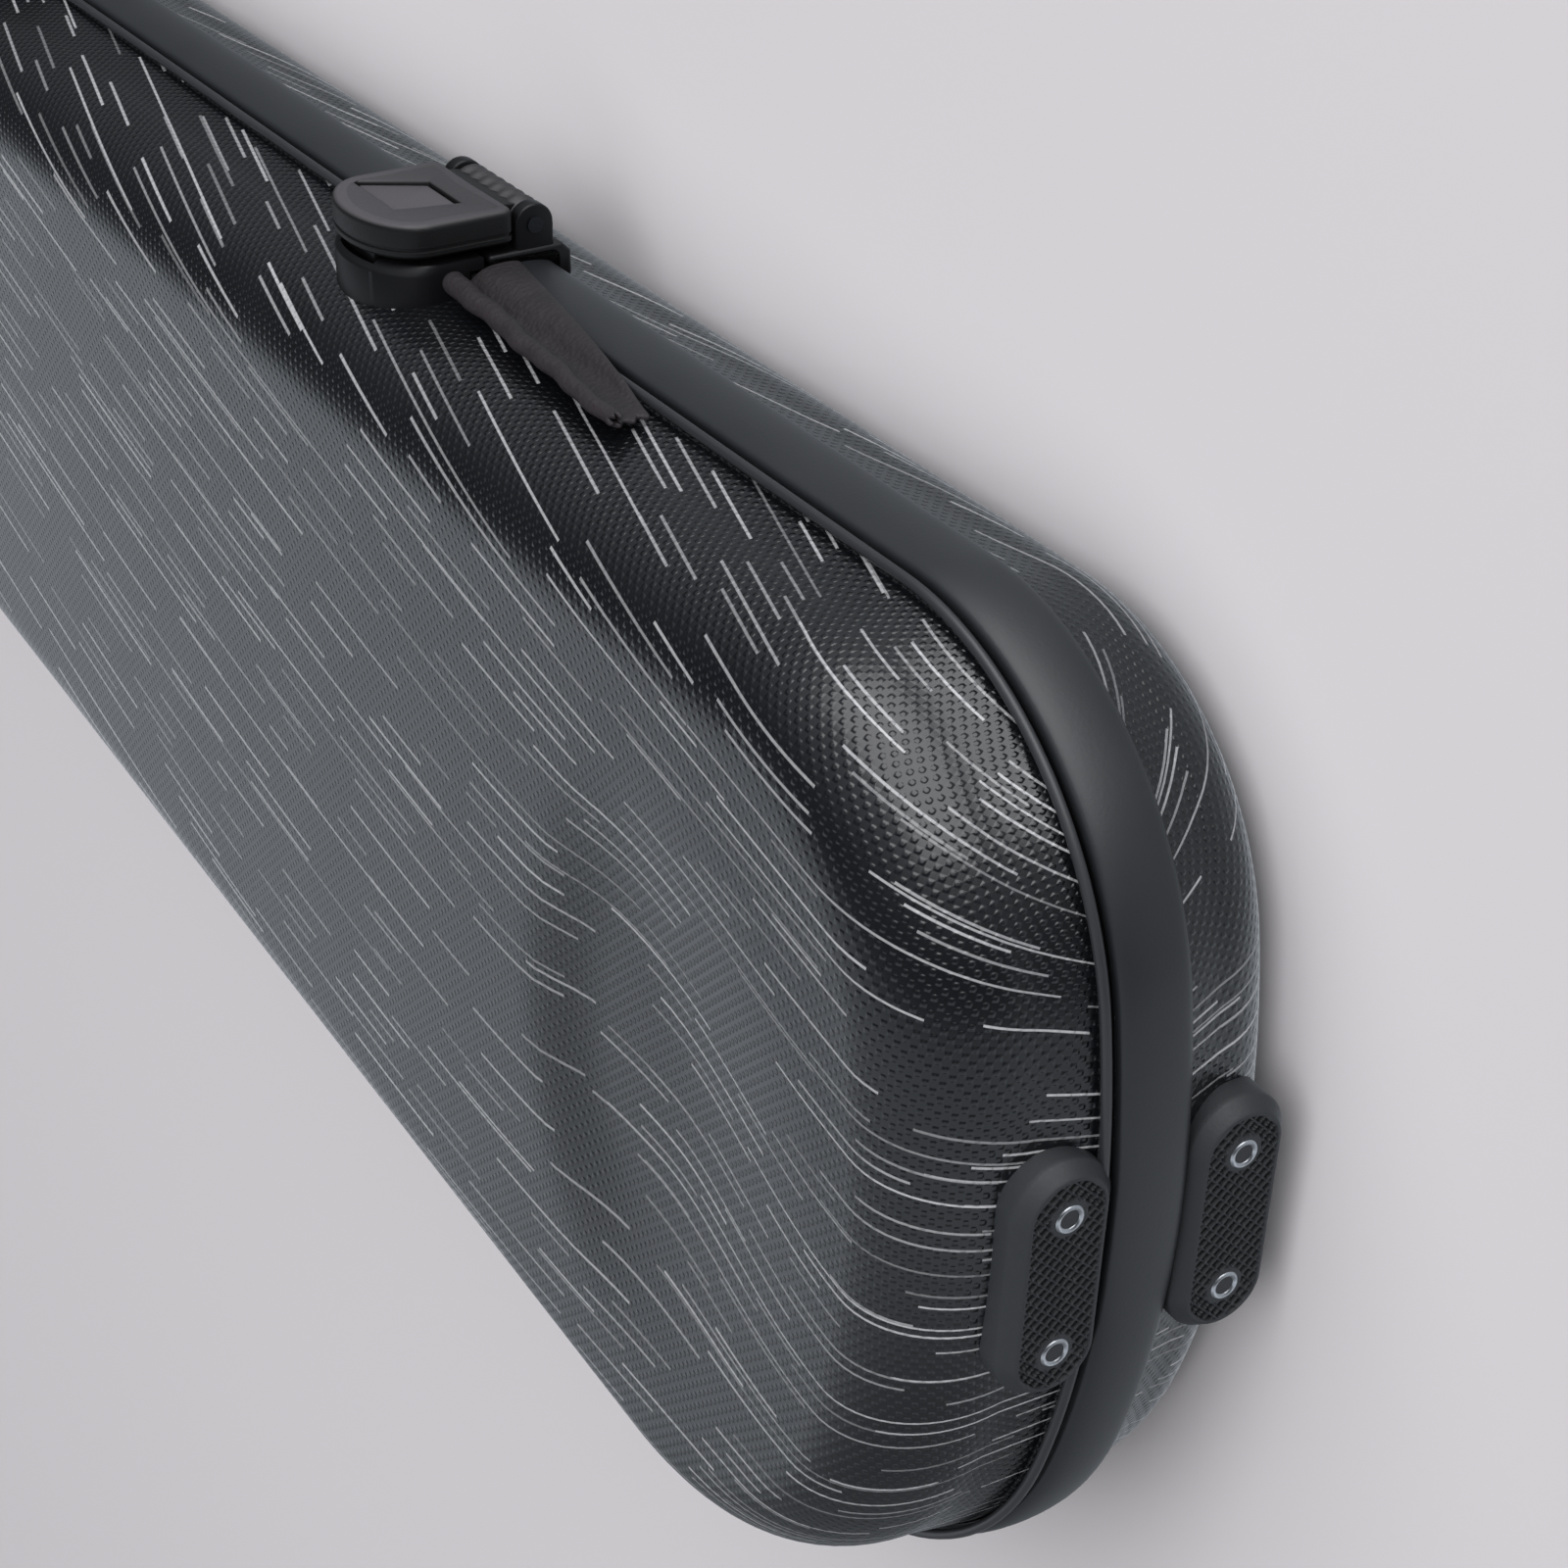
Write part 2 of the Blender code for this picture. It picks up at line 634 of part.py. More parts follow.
def make_rivet(name, spot, foot):
    """A tubular rivet sunk in the foot's top, and the stepped hole that it fills."""
    head = RIVET_HEAD_HEIGHT
    profile = [
        (0.0, -RIVET_BORE_DEPTH), (RIVET_BORE_RADIUS, -RIVET_BORE_DEPTH), (RIVET_BORE_RADIUS, 0.0),
        (RIVET_HEAD_RADIUS, 0.0), (RIVET_HEAD_RADIUS, -head), (RIVET_SHANK_RADIUS, -head),
        (RIVET_SHANK_RADIUS, -RIVET_LENGTH), (0.0, -RIVET_LENGTH),
    ]
    add_object(name, turned(name, profile, spot, RIVET_STEPS), METAL_LOOK)
    hole = [
        (0.0, OVERRUN), (RIVET_HEAD_RADIUS + GAP, OVERRUN), (RIVET_HEAD_RADIUS + GAP, -head - GAP),
        (RIVET_SHANK_RADIUS + GAP, -head - GAP), (RIVET_SHANK_RADIUS + GAP, -RIVET_LENGTH - GAP),
        (0.0, -RIVET_LENGTH - GAP),
    ]
    cut(foot, add_cutter(name + "_hole", turned(name + "_hole", hole, spot, RIVET_STEPS)))


def make_feet(base_form, lid_form, piping_room):
    """One foot on each shell at the wide end, and two on each shell along the spine."""
    lid_height = LID_EDGE + FOOT_WIDTH / 2.0
    base_height = STRIP_LOW - GAP - FOOT_WIDTH / 2.0
    end_y = SPINE_Y - WIDE_WIDTH * END_FOOT_SHARE
    lid_rooms = (lid_form, piping_room)
    base_rooms = (base_form,)
    make_foot("lid_end_foot", "end", end_y, END_FOOT_PROUD, lid_height, lid_rooms)
    make_foot("base_end_foot", "end", end_y, END_FOOT_PROUD, base_height, base_rooms)
    reach = LENGTH / 2.0 - SPINE_FOOT_FROM_END
    for number, x in enumerate((-reach, reach), 1):
        make_foot("lid_spine_foot_%d" % number, "spine", x, SPINE_FOOT_PROUD, lid_height, lid_rooms)
        make_foot("base_spine_foot_%d" % number, "spine", x, SPINE_FOOT_PROUD, base_height, base_rooms)


def lug(out, up, radius, floor, steps=8):
    """Outline of an ear: a round eye on a straight foot that reaches down to the floor."""
    eye = arc((out, up), radius, -math.pi / 2.0, math.pi / 2.0, steps)
    return [(floor, up - radius), *eye, (floor, up + radius)]


def make_latch(number, x, base_form, lid_form):
    """Bracket, pin, hasp and button on the base side, and the catch on the lid."""
    place = side_place("front", x)
    along = lying_along(place)
    outward = facing_out(place)
    half = LATCH_WIDTH / 2.0
    tag = "latch_%d_" % number

    pad = [(-OVERRUN, -LATCH_PAD_DROP), (LATCH_PAD_TOP - CATCH_CHAMFER, -LATCH_PAD_DROP),
           (LATCH_PAD_TOP, -LATCH_PAD_DROP + CATCH_CHAMFER), (LATCH_PAD_TOP, -SEAM_GAP),
           (STRIP_REACH + GAP, -SEAM_GAP), (STRIP_REACH + GAP, -STRIP_WIDTH - SEAM_GAP - GAP),
           (-OVERRUN, -STRIP_WIDTH - SEAM_GAP - GAP)]
    bracket = add_object(tag + "bracket", prism(tag + "bracket", pad, -half, half, along), PLASTIC_LOOK)
    cut(bracket, base_form)
    ear = lug(LATCH_PIVOT_OUT, -LATCH_PIVOT_DROP, LATCH_BARREL_RADIUS, LATCH_PAD_TOP - GAP)
    for side, low in (("left", -half + GAP), ("right", half - LATCH_EAR_WIDTH - GAP)):
        name = tag + side + "_ear"
        join(bracket, add_cutter(name, prism(name, ear, low, low + LATCH_EAR_WIDTH, along)))
    pivot = along @ Matrix.Translation((LATCH_PIVOT_OUT, -LATCH_PIVOT_DROP, 0.0))
    hole = cylinder(tag + "hole", LATCH_PIN_RADIUS + GAP, -half - OVERRUN, half + OVERRUN, pivot)
    hole = add_cutter(tag + "hole", hole)
    cut(bracket, hole)
    pin = cylinder(tag + "pin", LATCH_PIN_RADIUS, -half, half, pivot)
    add_object(tag + "pin", pin, METAL_LOOK)

    make_hasp(tag, half, place, along, outward, hole)
    make_catch(tag, half, along, outward, lid_form)


def make_hasp(tag, half, place, along, outward, hole):
    """The plate that swings over the rim, with a knuckle, a locating leg and a window for the button."""
    inner = half - LATCH_EAR_WIDTH - HASP_CLEAR - GAP
    low = -LATCH_PIVOT_DROP + LATCH_BARREL_RADIUS + GAP
    flat = nosed_plate(half, low, HASP_REACH)
    top = HASP_UNDERSIDE + HASP_THICKNESS
    plate = prism(tag + "hasp", flat, HASP_UNDERSIDE, top, outward)
    hasp = add_object(tag + "hasp", plate, PLASTIC_LOOK)
    web = [(LATCH_PIVOT_OUT - LATCH_BARREL_RADIUS * 0.5, -LATCH_PIVOT_DROP),
           (LATCH_PIVOT_OUT + LATCH_BARREL_RADIUS * 0.8, -LATCH_PIVOT_DROP), (top - GAP, low + GAP),
           (HASP_UNDERSIDE + GAP, low + GAP)]
    pivot = along @ Matrix.Translation((LATCH_PIVOT_OUT, -LATCH_PIVOT_DROP, 0.0))
    knuckle = add_cutter(tag + "knuckle", cylinder(tag + "knuckle", LATCH_BARREL_RADIUS, -inner, inner, pivot))
    web = add_cutter(tag + "web", prism(tag + "web", web, -inner + GAP, inner - GAP, along))
    leg = block(tag + "leg", (-LEG_WIDTH / 2.0, LEG_TIP, LEG_UP),
                (LEG_WIDTH / 2.0, HASP_UNDERSIDE + GAP, LEG_UP + LEG_THICKNESS), place)
    leg = add_cutter(tag + "leg", leg)
    join(hasp, knuckle, web, leg)
    cut(hasp, hole)

    window = add_cutter(tag + "window", prism(tag + "window", button_outline(GAP), HASP_UNDERSIDE - OVERRUN,
                                              top + OVERRUN, outward))
    seat = prism(tag + "seat", button_outline(BUTTON_FLANGE + GAP), HASP_UNDERSIDE - OVERRUN,
                 HASP_UNDERSIDE + BUTTON_SEAT, outward)
    cut(hasp, window, add_cutter(tag + "seat", seat))
    crest = top - BUTTON_RECESS
    low = crest - BUTTON_THICKNESS
    button = prism(tag + "button", button_outline(0.0), low, crest, outward)
    button = add_object(tag + "button", button, PLASTIC_LOOK)
    flange = prism(tag + "flange", button_outline(BUTTON_FLANGE), low, HASP_UNDERSIDE + BUTTON_SEAT - GAP,
                   outward)
    join(button, add_cutter(tag + "flange", flange))


def nosed_plate(half, low, high):
    """A plate's outline with a rounded nose, seen from outside, from low to high over the seam."""
    start = high - HASP_NOSE
    nose = [(half * math.cos(a), -start - HASP_NOSE * math.sin(a))
            for a in [math.pi * i / 10 for i in range(11)]]
    return [(-half, -low), (half, -low), *nose]


def button_outline(grow):
    """A slanted four-sided button, wider towards the lid, seen from outside."""
    upper = -BUTTON_SHIFT - BUTTON_SKEW / 2.0
    lower = -BUTTON_SHIFT + BUTTON_SKEW / 2.0
    broad = (BUTTON_WIDTH + BUTTON_FLARE) / 2.0 + grow
    narrow = (BUTTON_WIDTH - BUTTON_FLARE) / 2.0 + grow
    tall = BUTTON_HEIGHT / 2.0 + grow
    return [(upper - broad, -BUTTON_UP - tall), (upper + broad, -BUTTON_UP - tall),
            (lower + narrow, -BUTTON_UP + tall), (lower - narrow, -BUTTON_UP + tall)]


def make_catch(tag, half, along, outward, lid_form):
    """The catch on the lid: a low nosed block with a groove, open towards the rim, for the hasp's leg."""
    step = PIPING_LIFT + PIPING_DIAMETER + SEAM_GAP + GAP
    edge = [(STRIP_REACH, SEAM_GAP), (CATCH_TOP, SEAM_GAP), (CATCH_TOP, CATCH_HEIGHT - CATCH_CHAMFER),
            (CATCH_TOP - CATCH_CHAMFER, CATCH_HEIGHT), (-PAD_DEPTH, CATCH_HEIGHT),
            (-PAD_DEPTH, step), (STRIP_REACH, step)]
    catch = add_object(tag + "catch", prism(tag + "catch", edge, -half, half, along), PLASTIC_LOOK)
    reach = LEG_WIDTH / 2.0 + LEG_CLEARANCE
    groove = [(CATCH_GROOVE_FLOOR, -OVERRUN), (CATCH_TOP + OVERRUN, -OVERRUN),
              (CATCH_TOP + OVERRUN, LEG_UP + LEG_THICKNESS + LEG_CLEARANCE),
              (CATCH_GROOVE_FLOOR, LEG_UP + LEG_THICKNESS + LEG_CLEARANCE)]
    cut(catch, lid_form, add_cutter(tag + "groove", prism(tag + "groove", groove, -reach, reach, along)))
    nosed = nosed_plate(half + GAP, -OVERRUN, CATCH_HEIGHT + GAP)
    nosed = prism(tag + "nosed", nosed, -PAD_DEPTH - OVERRUN, CATCH_TOP + OVERRUN, outward)
    boolean(catch, add_cutter(tag + "nosed", nosed), "INTERSECT")


def make_handle(base_form):
    """A U-shaped grip on two brackets, folded up beside the lid."""
    place = side_place("front", 0.0)
    along = lying_along(place)
    reach = HANDLE_SPAN / 2.0
    pivot_up = -HANDLE_PIVOT_DROP
    grip_up = pivot_up + HANDLE_DEPTH
    corner = arc((reach - HANDLE_CORNER, grip_up - HANDLE_CORNER), HANDLE_CORNER, 0.0, math.pi / 2.0, 5)
    right = [(reach, pivot_up)] + corner
    path = right + [(-px, pz) for px, pz in reversed(right)]
    curve = bpy.data.curves.new("handle_path", "CURVE")
    curve.dimensions = "3D"
    curve.bevel_depth = HANDLE_LEG_RADIUS
    curve.bevel_resolution = 2
    curve.use_fill_caps = True
    spline = curve.splines.new("POLY")
    spline.points.add(len(path) - 1)
    for point, (px, pz) in zip(spline.points, path):
        point.co = (px, HANDLE_PIVOT_OUT, pz, 1.0)
        rise = (pz - pivot_up) / HANDLE_DEPTH
        point.radius = 1.0 + (HANDLE_GRIP_RADIUS / HANDLE_LEG_RADIUS - 1.0) * rise ** 3
    helper = bpy.data.objects.new("handle", curve)
    cutters.objects.link(helper)
    handle = add_object("handle", bake(helper, place), RUBBER_LOOK)
    eyes = HANDLE_EYE_WIDTH / 2.0
    pad = [(-PAD_DEPTH, -HANDLE_PAD_DROP), (HANDLE_PAD_TOP - CATCH_CHAMFER, -HANDLE_PAD_DROP),
           (HANDLE_PAD_TOP, -HANDLE_PAD_DROP + CATCH_CHAMFER),
           (HANDLE_PAD_TOP, -STRIP_WIDTH - SEAM_GAP - GAP),
           (-PAD_DEPTH, -STRIP_WIDTH - SEAM_GAP - GAP)]
    ear = lug(HANDLE_PIVOT_OUT, pivot_up, HANDLE_EYE_RADIUS - GAP, HANDLE_PAD_TOP - GAP)
    for number, shift in enumerate((-reach, reach), 1):
        tag = "handle_%d_" % number
        moved = along @ Matrix.Translation((0.0, 0.0, shift))
        pivot = moved @ Matrix.Translation((HANDLE_PIVOT_OUT, pivot_up, 0.0))
        outer = eyes + HASP_CLEAR + HANDLE_EAR_WIDTH
        eye = add_cutter(tag + "eye", cylinder(tag + "eye", HANDLE_EYE_RADIUS, -eyes, eyes, pivot, 16))
        join(handle, eye)
        bracket = prism(tag + "bracket", pad, -HANDLE_PAD_WIDTH / 2.0, HANDLE_PAD_WIDTH / 2.0, moved)
        bracket = add_object(tag + "bracket", bracket, PLASTIC_LOOK)
        cut(bracket, base_form)
        for side, low in (("left", -outer), ("right", outer - HANDLE_EAR_WIDTH)):
            name = tag + side + "_ear"
            join(bracket, add_cutter(name, prism(name, ear, low, low + HANDLE_EAR_WIDTH, moved)))
        hole = cylinder(tag + "hole", HANDLE_PIN_RADIUS + GAP, -outer - OVERRUN, outer + OVERRUN, pivot)
        hole = add_cutter(tag + "hole", hole)
        cut(bracket, hole)
        cut(handle, hole)
        add_object(tag + "pin", cylinder(tag + "pin", HANDLE_PIN_RADIUS, -outer, outer, pivot), METAL_LOOK)


def make_hinge(number, x, base_form, lid_form):
    """Two leaves with interleaved knuckles and a pin, along the spine outside the strip."""
    place = side_place("spine", x)
    along = lying_along(place)
    tag = "hinge_%d_" % number
    third = HINGE_WIDTH / 3.0
    half = HINGE_WIDTH / 2.0
    below = -STRIP_WIDTH - SEAM_GAP - GAP
    above = PIPING_LIFT + PIPING_DIAMETER + SEAM_GAP + GAP
    inner = HINGE_LEAF_TOP - HINGE_LEAF_THICKNESS
    base = [(-PAD_DEPTH, -HINGE_BASE_LEAF_DROP),
            (HINGE_LEAF_TOP - CATCH_CHAMFER, -HINGE_BASE_LEAF_DROP),
            (HINGE_LEAF_TOP, -HINGE_BASE_LEAF_DROP + CATCH_CHAMFER), (HINGE_LEAF_TOP, 0.0),
            (inner, 0.0), (inner, below), (-PAD_DEPTH, below)]
    lid = [(-PAD_DEPTH, HINGE_LID_LEAF_RISE), (HINGE_LEAF_TOP - CATCH_CHAMFER, HINGE_LID_LEAF_RISE),
           (HINGE_LEAF_TOP, HINGE_LID_LEAF_RISE - CATCH_CHAMFER), (HINGE_LEAF_TOP, 0.0), (inner, 0.0),
           (inner, above), (-PAD_DEPTH, above)]
    pivot = along @ Matrix.Translation((HINGE_OUT, 0.0, 0.0))
    clear = HINGE_KNUCKLE_RADIUS + GAP
    hole = cylinder(tag + "hole", HINGE_PIN_RADIUS + GAP, -half - OVERRUN, half + OVERRUN, pivot)
    hole = add_cutter(tag + "hole", hole)
    spans = {"base": [(-half, -third / 2.0 - GAP), (third / 2.0 + GAP, half)],
             "lid": [(-third / 2.0, third / 2.0)]}
    for body, outline, form in (("base", base, base_form), ("lid", lid, lid_form)):
        name = tag + body + "_leaf"
        leaf = add_object(name, prism(name, outline, -half, half, along), METAL_LOOK)
        cut(leaf, form)
        other = "lid" if body == "base" else "base"
        for index, (low, high) in enumerate(spans[other]):
            room = "%s_room_%d" % (name, index)
            room = add_cutter(room, cylinder(room, clear, low - GAP * 2.0, high + GAP * 2.0, pivot, 16))
            cut(leaf, room)
        for index, (low, high) in enumerate(spans[body]):
            knuckle = "%s_knuckle_%d" % (name, index)
            join(leaf, add_cutter(knuckle, cylinder(knuckle, HINGE_KNUCKLE_RADIUS, low, high, pivot, 16)))
        cut(leaf, hole)
    add_object(tag + "pin", cylinder(tag + "pin", HINGE_PIN_RADIUS, -half, half, pivot, 10), METAL_LOOK)


def wall_inset(up):
    """Inset of the lid's wall at a height over the seam."""
    share = max(up - SEAM_GAP / 2.0, 0.0) / LID_DEPTH
    if share <= STRAIGHT_WALL_SHARE:
        return WALL_DRAFT * share / STRAIGHT_WALL_SHARE
    turn = math.asin((share - STRAIGHT_WALL_SHARE) / (1.0 - STRAIGHT_WALL_SHARE))
    return WALL_DRAFT + EDGE_ROUND * (1.0 - math.cos(turn))


def tab_out(up):
    """How far out the tab's underside lies: over the strip, down over the piping, then on the lid's wall."""
    over = PIPING_LIFT + PIPING_DIAMETER + SEAM_GAP
    strip = STRIP_REACH + TAB_SEAT
    piping = GAP + PIPING_DIAMETER + TAB_SEAT
    wall = TAB_SEAT - wall_inset(up)
    if up <= 0.0:
        return strip
    if up <= over:
        return strip + (piping - strip) * up / over
    if up <= over + TAB_SETTLE:
        return piping + (wall - piping) * (up - over) / TAB_SETTLE
    return wall


def make_tab(latch_x):
    """A wedge of soft leather: at the latch it lies over the strip and the piping, at its end on the lid."""
    place = side_place("front", latch_x)
    columns, rows = 8, 7
    bm = bmesh.new()
    grid = []
    for i in range(columns + 1):
        share = i / columns
        along = TAB_FROM_LATCH + TAB_LENGTH * share
        start = -TAB_OVER_STRIP + (TAB_FAR_START + TAB_OVER_STRIP) * share
        rise = TAB_NEAR_RISE + (TAB_FAR_RISE - TAB_NEAR_RISE) * share
        heights = [start + (rise - start) * j / rows for j in range(rows + 1)]
        grid.append([bm.verts.new((along, tab_out(up), up)) for up in heights])
    for left, right in zip(grid, grid[1:]):
        for j in range(len(left) - 1):
            bm.faces.new((left[j], right[j], right[j + 1], left[j + 1]))
    bmesh.ops.recalc_face_normals(bm, faces=bm.faces)
    if sum(face.normal.y for face in bm.faces) < 0.0:
        bmesh.ops.reverse_faces(bm, faces=bm.faces)
    bmesh.ops.transform(bm, matrix=place, verts=bm.verts)
    mesh = bpy.data.meshes.new("pull_tab")
    bm.to_mesh(mesh)
    bm.free()
    tab = add_object("pull_tab", mesh, LEATHER_LOOK)
    solid = tab.modifiers.new("leather", "SOLIDIFY")
    solid.thickness = TAB_THICKNESS
    solid.offset = 1.0


def rounded_box(low, high, corner, steps=3):
    """A rectangle with rounded corners, as an outline."""
    points = []
    spots = [(high[0], high[1], 0.0), (low[0], high[1], 0.5), (low[0], low[1], 1.0), (high[0], low[1], 1.5)]
    for px, py, turn in spots:
        cx = px - corner if px == high[0] else px + corner
        cy = py - corner if py == high[1] else py + corner
        points += arc((cx, cy), corner, turn * math.pi, (turn + 0.5) * math.pi, steps)
    return points


def make_linings():
    """A foam tray with two bow channels and a pocket in the base, and a thin lining in the lid."""
    shrink = SHELL_WALL + LINING_GAP
    wall = -shrink
    rings = [[(x, y, LINING_TOP) for x, y in loop(shrink + LIP_THICKNESS)]]
    for share, inset in section()[1:]:
        rings.append(level_points(STRIP_LOW, BASE_DEPTH, -1.0, share, inset, wall))
    bm = loft(rings, True)
    tray = add_object("base_lining", finish_mesh("base_lining", bm), VELVET_LOOK)
    start = WIDE_TIP + CHANNEL_FROM_WIDE_END
    end = NARROW_TIP - CHANNEL_FROM_NARROW_END
    top = SPINE_Y - CHANNEL_FROM_SPINE
    step = CHANNEL_WIDTH + CHANNEL_DIVIDER
    for number in range(2):
        high = top - number * step
        shape = rounded_box((start, high - CHANNEL_WIDTH), (end, high), CHANNEL_WIDTH / 2.0, 4)
        name = "channel_%d" % (number + 1)
        cut(tray, add_cutter(name, prism(name, shape, CHANNEL_FLOOR, LINING_TOP + OVERRUN)))
    high = top - 2.0 * step
    first = WIDE_TIP + POCKET_FROM_WIDE_END
    shape = rounded_box((first, high - POCKET_WIDTH), (first + POCKET_LENGTH, high), POCKET_CORNER)
    cut(tray, add_cutter("pocket", prism("pocket", shape, CHANNEL_FLOOR, LINING_TOP + OVERRUN)))

    inset = SHELL_WALL + GAP
    levels = [level_points(LID_EDGE, LID_DEPTH, 1.0, share, drawn, -inset) for share, drawn in section()[2:]]
    skin("lid_lining", levels, LID_LINING, 1.0, VELVET_LOOK, FACE_STEPS, dish_drop)
    make_clips(tray, top - CHANNEL_WIDTH - CHANNEL_DIVIDER / 2.0)


def make_clips(tray, y):
    """Turn-clips on the divider, each lying across one channel and turning on a screw post."""
    reach = LENGTH / 2.0 - CLIP_FROM_END
    for number, (x, towards) in enumerate(((reach, 1.0), (-reach, -1.0)), 1):
        bottom = LINING_TOP + GAP
        top = bottom + CLIP_THICKNESS
        place = Matrix.Translation((x, y, 0.0))
        offset = towards * (CLIP_LENGTH - CLIP_WIDTH) / 2.0
        lying = place @ Matrix.Translation((0.0, offset, 0.0)) @ Matrix.Rotation(math.pi / 2.0, 4, "Z")
        name = "bow_clip_%d" % number
        clip = add_object(name, prism(name, stadium(CLIP_LENGTH, CLIP_WIDTH), bottom, top, lying),
                          PLASTIC_LOOK)
        hole = cylinder(name + "_hole", POST_RADIUS + GAP, LINING_TOP - POST_DEPTH, top + OVERRUN, place)
        hole = add_cutter(name + "_hole", hole)
        cut(clip, hole)
        cut(tray, hole)
        crown = top + GAP + POST_HEAD_HEIGHT
        profile = [(0.0, crown), (POST_HEAD_RADIUS - GAP, crown), (POST_HEAD_RADIUS, top + GAP),
                   (POST_RADIUS, top + GAP), (POST_RADIUS, LINING_TOP - POST_DEPTH + GAP),
                   (0.0, LINING_TOP - POST_DEPTH + GAP)]
        post = "clip_post_%d" % number
        add_object(post, turned(post, profile, place, ROUND_STEPS), METAL_LOOK)


def main():
    make_shells()
    base_form, lid_form, piping_room = shell_cutters()
    make_feet(base_form, lid_form, piping_room)
    latch_x = LENGTH / 2.0 - LATCH_FROM_END
    make_latch(1, -latch_x, base_form, lid_form)
    make_latch(2, latch_x, base_form, lid_form)
    make_handle(base_form)
    hinge_x = LENGTH / 2.0 - HINGE_FROM_END
    for number, x in enumerate((-hinge_x, 0.0, hinge_x), 1):
        make_hinge(number, x, base_form, lid_form)
    make_tab(-latch_x)
    make_linings()


clear_scene()
case = make_collection("bow_case")
cutters = make_collection("cutters")
main()
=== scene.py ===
"""Looks for the bow case: dense moulded skins, soft trim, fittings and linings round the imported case.

The case lies on its back shell. The latches and the handle are on its front side (-Y), the hinges on its
spine (+Y), and the wide end is at -X. Lengths are in metres and angles in radians unless a name says more.
"""

import math

import bpy
import numpy as np
from bpy.props import FloatProperty, FloatVectorProperty, IntProperty, PointerProperty
from mathutils import Matrix


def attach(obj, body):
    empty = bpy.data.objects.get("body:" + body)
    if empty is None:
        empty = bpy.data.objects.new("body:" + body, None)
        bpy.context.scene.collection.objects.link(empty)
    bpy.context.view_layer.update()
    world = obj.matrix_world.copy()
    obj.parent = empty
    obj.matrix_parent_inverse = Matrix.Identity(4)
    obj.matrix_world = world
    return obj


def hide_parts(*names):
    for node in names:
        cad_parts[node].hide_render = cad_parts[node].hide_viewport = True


bl_info = {
    "name": "Bow Case Looks",
    "version": (1, 0, 0),
    "blender": (4, 5, 0),
    "location": "3D View > Sidebar > Bow Case",
    "description": "Builds the skins, trim, fittings and linings of a bow case round its packed frame",
    "category": "Object",
}

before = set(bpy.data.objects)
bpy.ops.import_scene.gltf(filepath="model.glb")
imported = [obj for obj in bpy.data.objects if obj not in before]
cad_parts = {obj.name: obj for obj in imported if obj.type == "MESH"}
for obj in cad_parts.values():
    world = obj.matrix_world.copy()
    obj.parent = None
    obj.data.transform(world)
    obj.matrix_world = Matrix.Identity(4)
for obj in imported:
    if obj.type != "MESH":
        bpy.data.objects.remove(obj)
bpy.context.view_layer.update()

MM = 0.001

# Rim outline
LENGTH = 790.0 * MM
WIDE_WIDTH = 146.6 * MM
NARROW_WIDTH = 91.2 * MM
TAPER = math.atan((WIDE_WIDTH - NARROW_WIDTH) / LENGTH)
SPINE_Y = (WIDE_WIDTH + NARROW_WIDTH) / 4.0
WIDE_END = (-1.0, 135.6 * MM, WIDE_WIDTH * 0.562, 41.2 * MM, 60.6 * MM)
NARROW_END = (1.0, 85.0 * MM, NARROW_WIDTH * 0.548, 27.0 * MM, 36.0 * MM)

# Heights and section
BASE_DEPTH = 18.0 * MM
LID_DEPTH = 25.0 * MM
SHELL_WALL = 1.6 * MM
DRAFT = 1.4 * MM
EDGE_ROUND = 13.3 * MM
STRAIGHT_SHARE = 0.35
BASE_HEM = 9.7 * MM
SHEETS_APART = 11.3 * MM
STRIP_LOW = 18.0 * MM
STRIP_HIGH = 28.0 * MM
SEAM = 28.2 * MM
LID_EDGE = 28.4 * MM
LINING_TOP = 20.6 * MM
CHANNEL_FLOOR = 9.6 * MM
GAP = 0.3 * MM

# Dish in the lid's face: its middle and half lengths, and the middle of where it drew the film
DISH_X = -332.0 * MM
DISH_Y = -9.45 * MM
DISH_DEPTH = 3.0 * MM
DISH_STEEP = 31.0 * MM
DISH_GENTLE = 46.0 * MM
DISH_ACROSS = 49.0 * MM
DRAWN_X = -335.0 * MM
DRAWN_LENGTH = 6.0 * MM

# Feet
FOOT_LENGTH = 34.0 * MM
FOOT_WIDTH = 13.6 * MM
RIVET_PLACE = 9.9 * MM
RIVET_SEAT = 2.45 * MM
NET_DEPTH = 0.4 * MM
END_FOOT_SHARE = 0.539
END_FOOT_PROUD = 2.6 * MM
SPINE_FOOT_PROUD = 7.8 * MM
SPINE_FOOT_X = 295.0 * MM

# Latches, in their frame on the front side: out from the rim line, up from the seam
LATCH_X = 229.0 * MM
LATCH_HALF = 12.0 * MM
PIVOT_OUT = 7.4 * MM
PIVOT_UP = -7.7 * MM
BARREL_RADIUS = 2.9 * MM
EAR_WIDTH = 2.4 * MM
PLATE_LOW = 5.4 * MM
PLATE_TOP = 10.2 * MM
NOSE_UP = 15.6 * MM
NOSE_LENGTH = 7.6 * MM

# Handle, in the same frame
HANDLE_REACH = 56.0 * MM
HANDLE_OUT = 7.6 * MM
HANDLE_LOW = -13.6 * MM
HANDLE_DEEP = 28.0 * MM

PLAIN_UP = np.array([0.0, 0.0, 1.0])


def linear(code):
    """An sRGB hex colour as linear red, green and blue."""
    parts = [int(code[i:i + 2], 16) / 255.0 for i in (0, 2, 4)]
    return tuple(p / 12.92 if p <= 0.04045 else ((p + 0.055) / 1.055) ** 2.4 for p in parts)


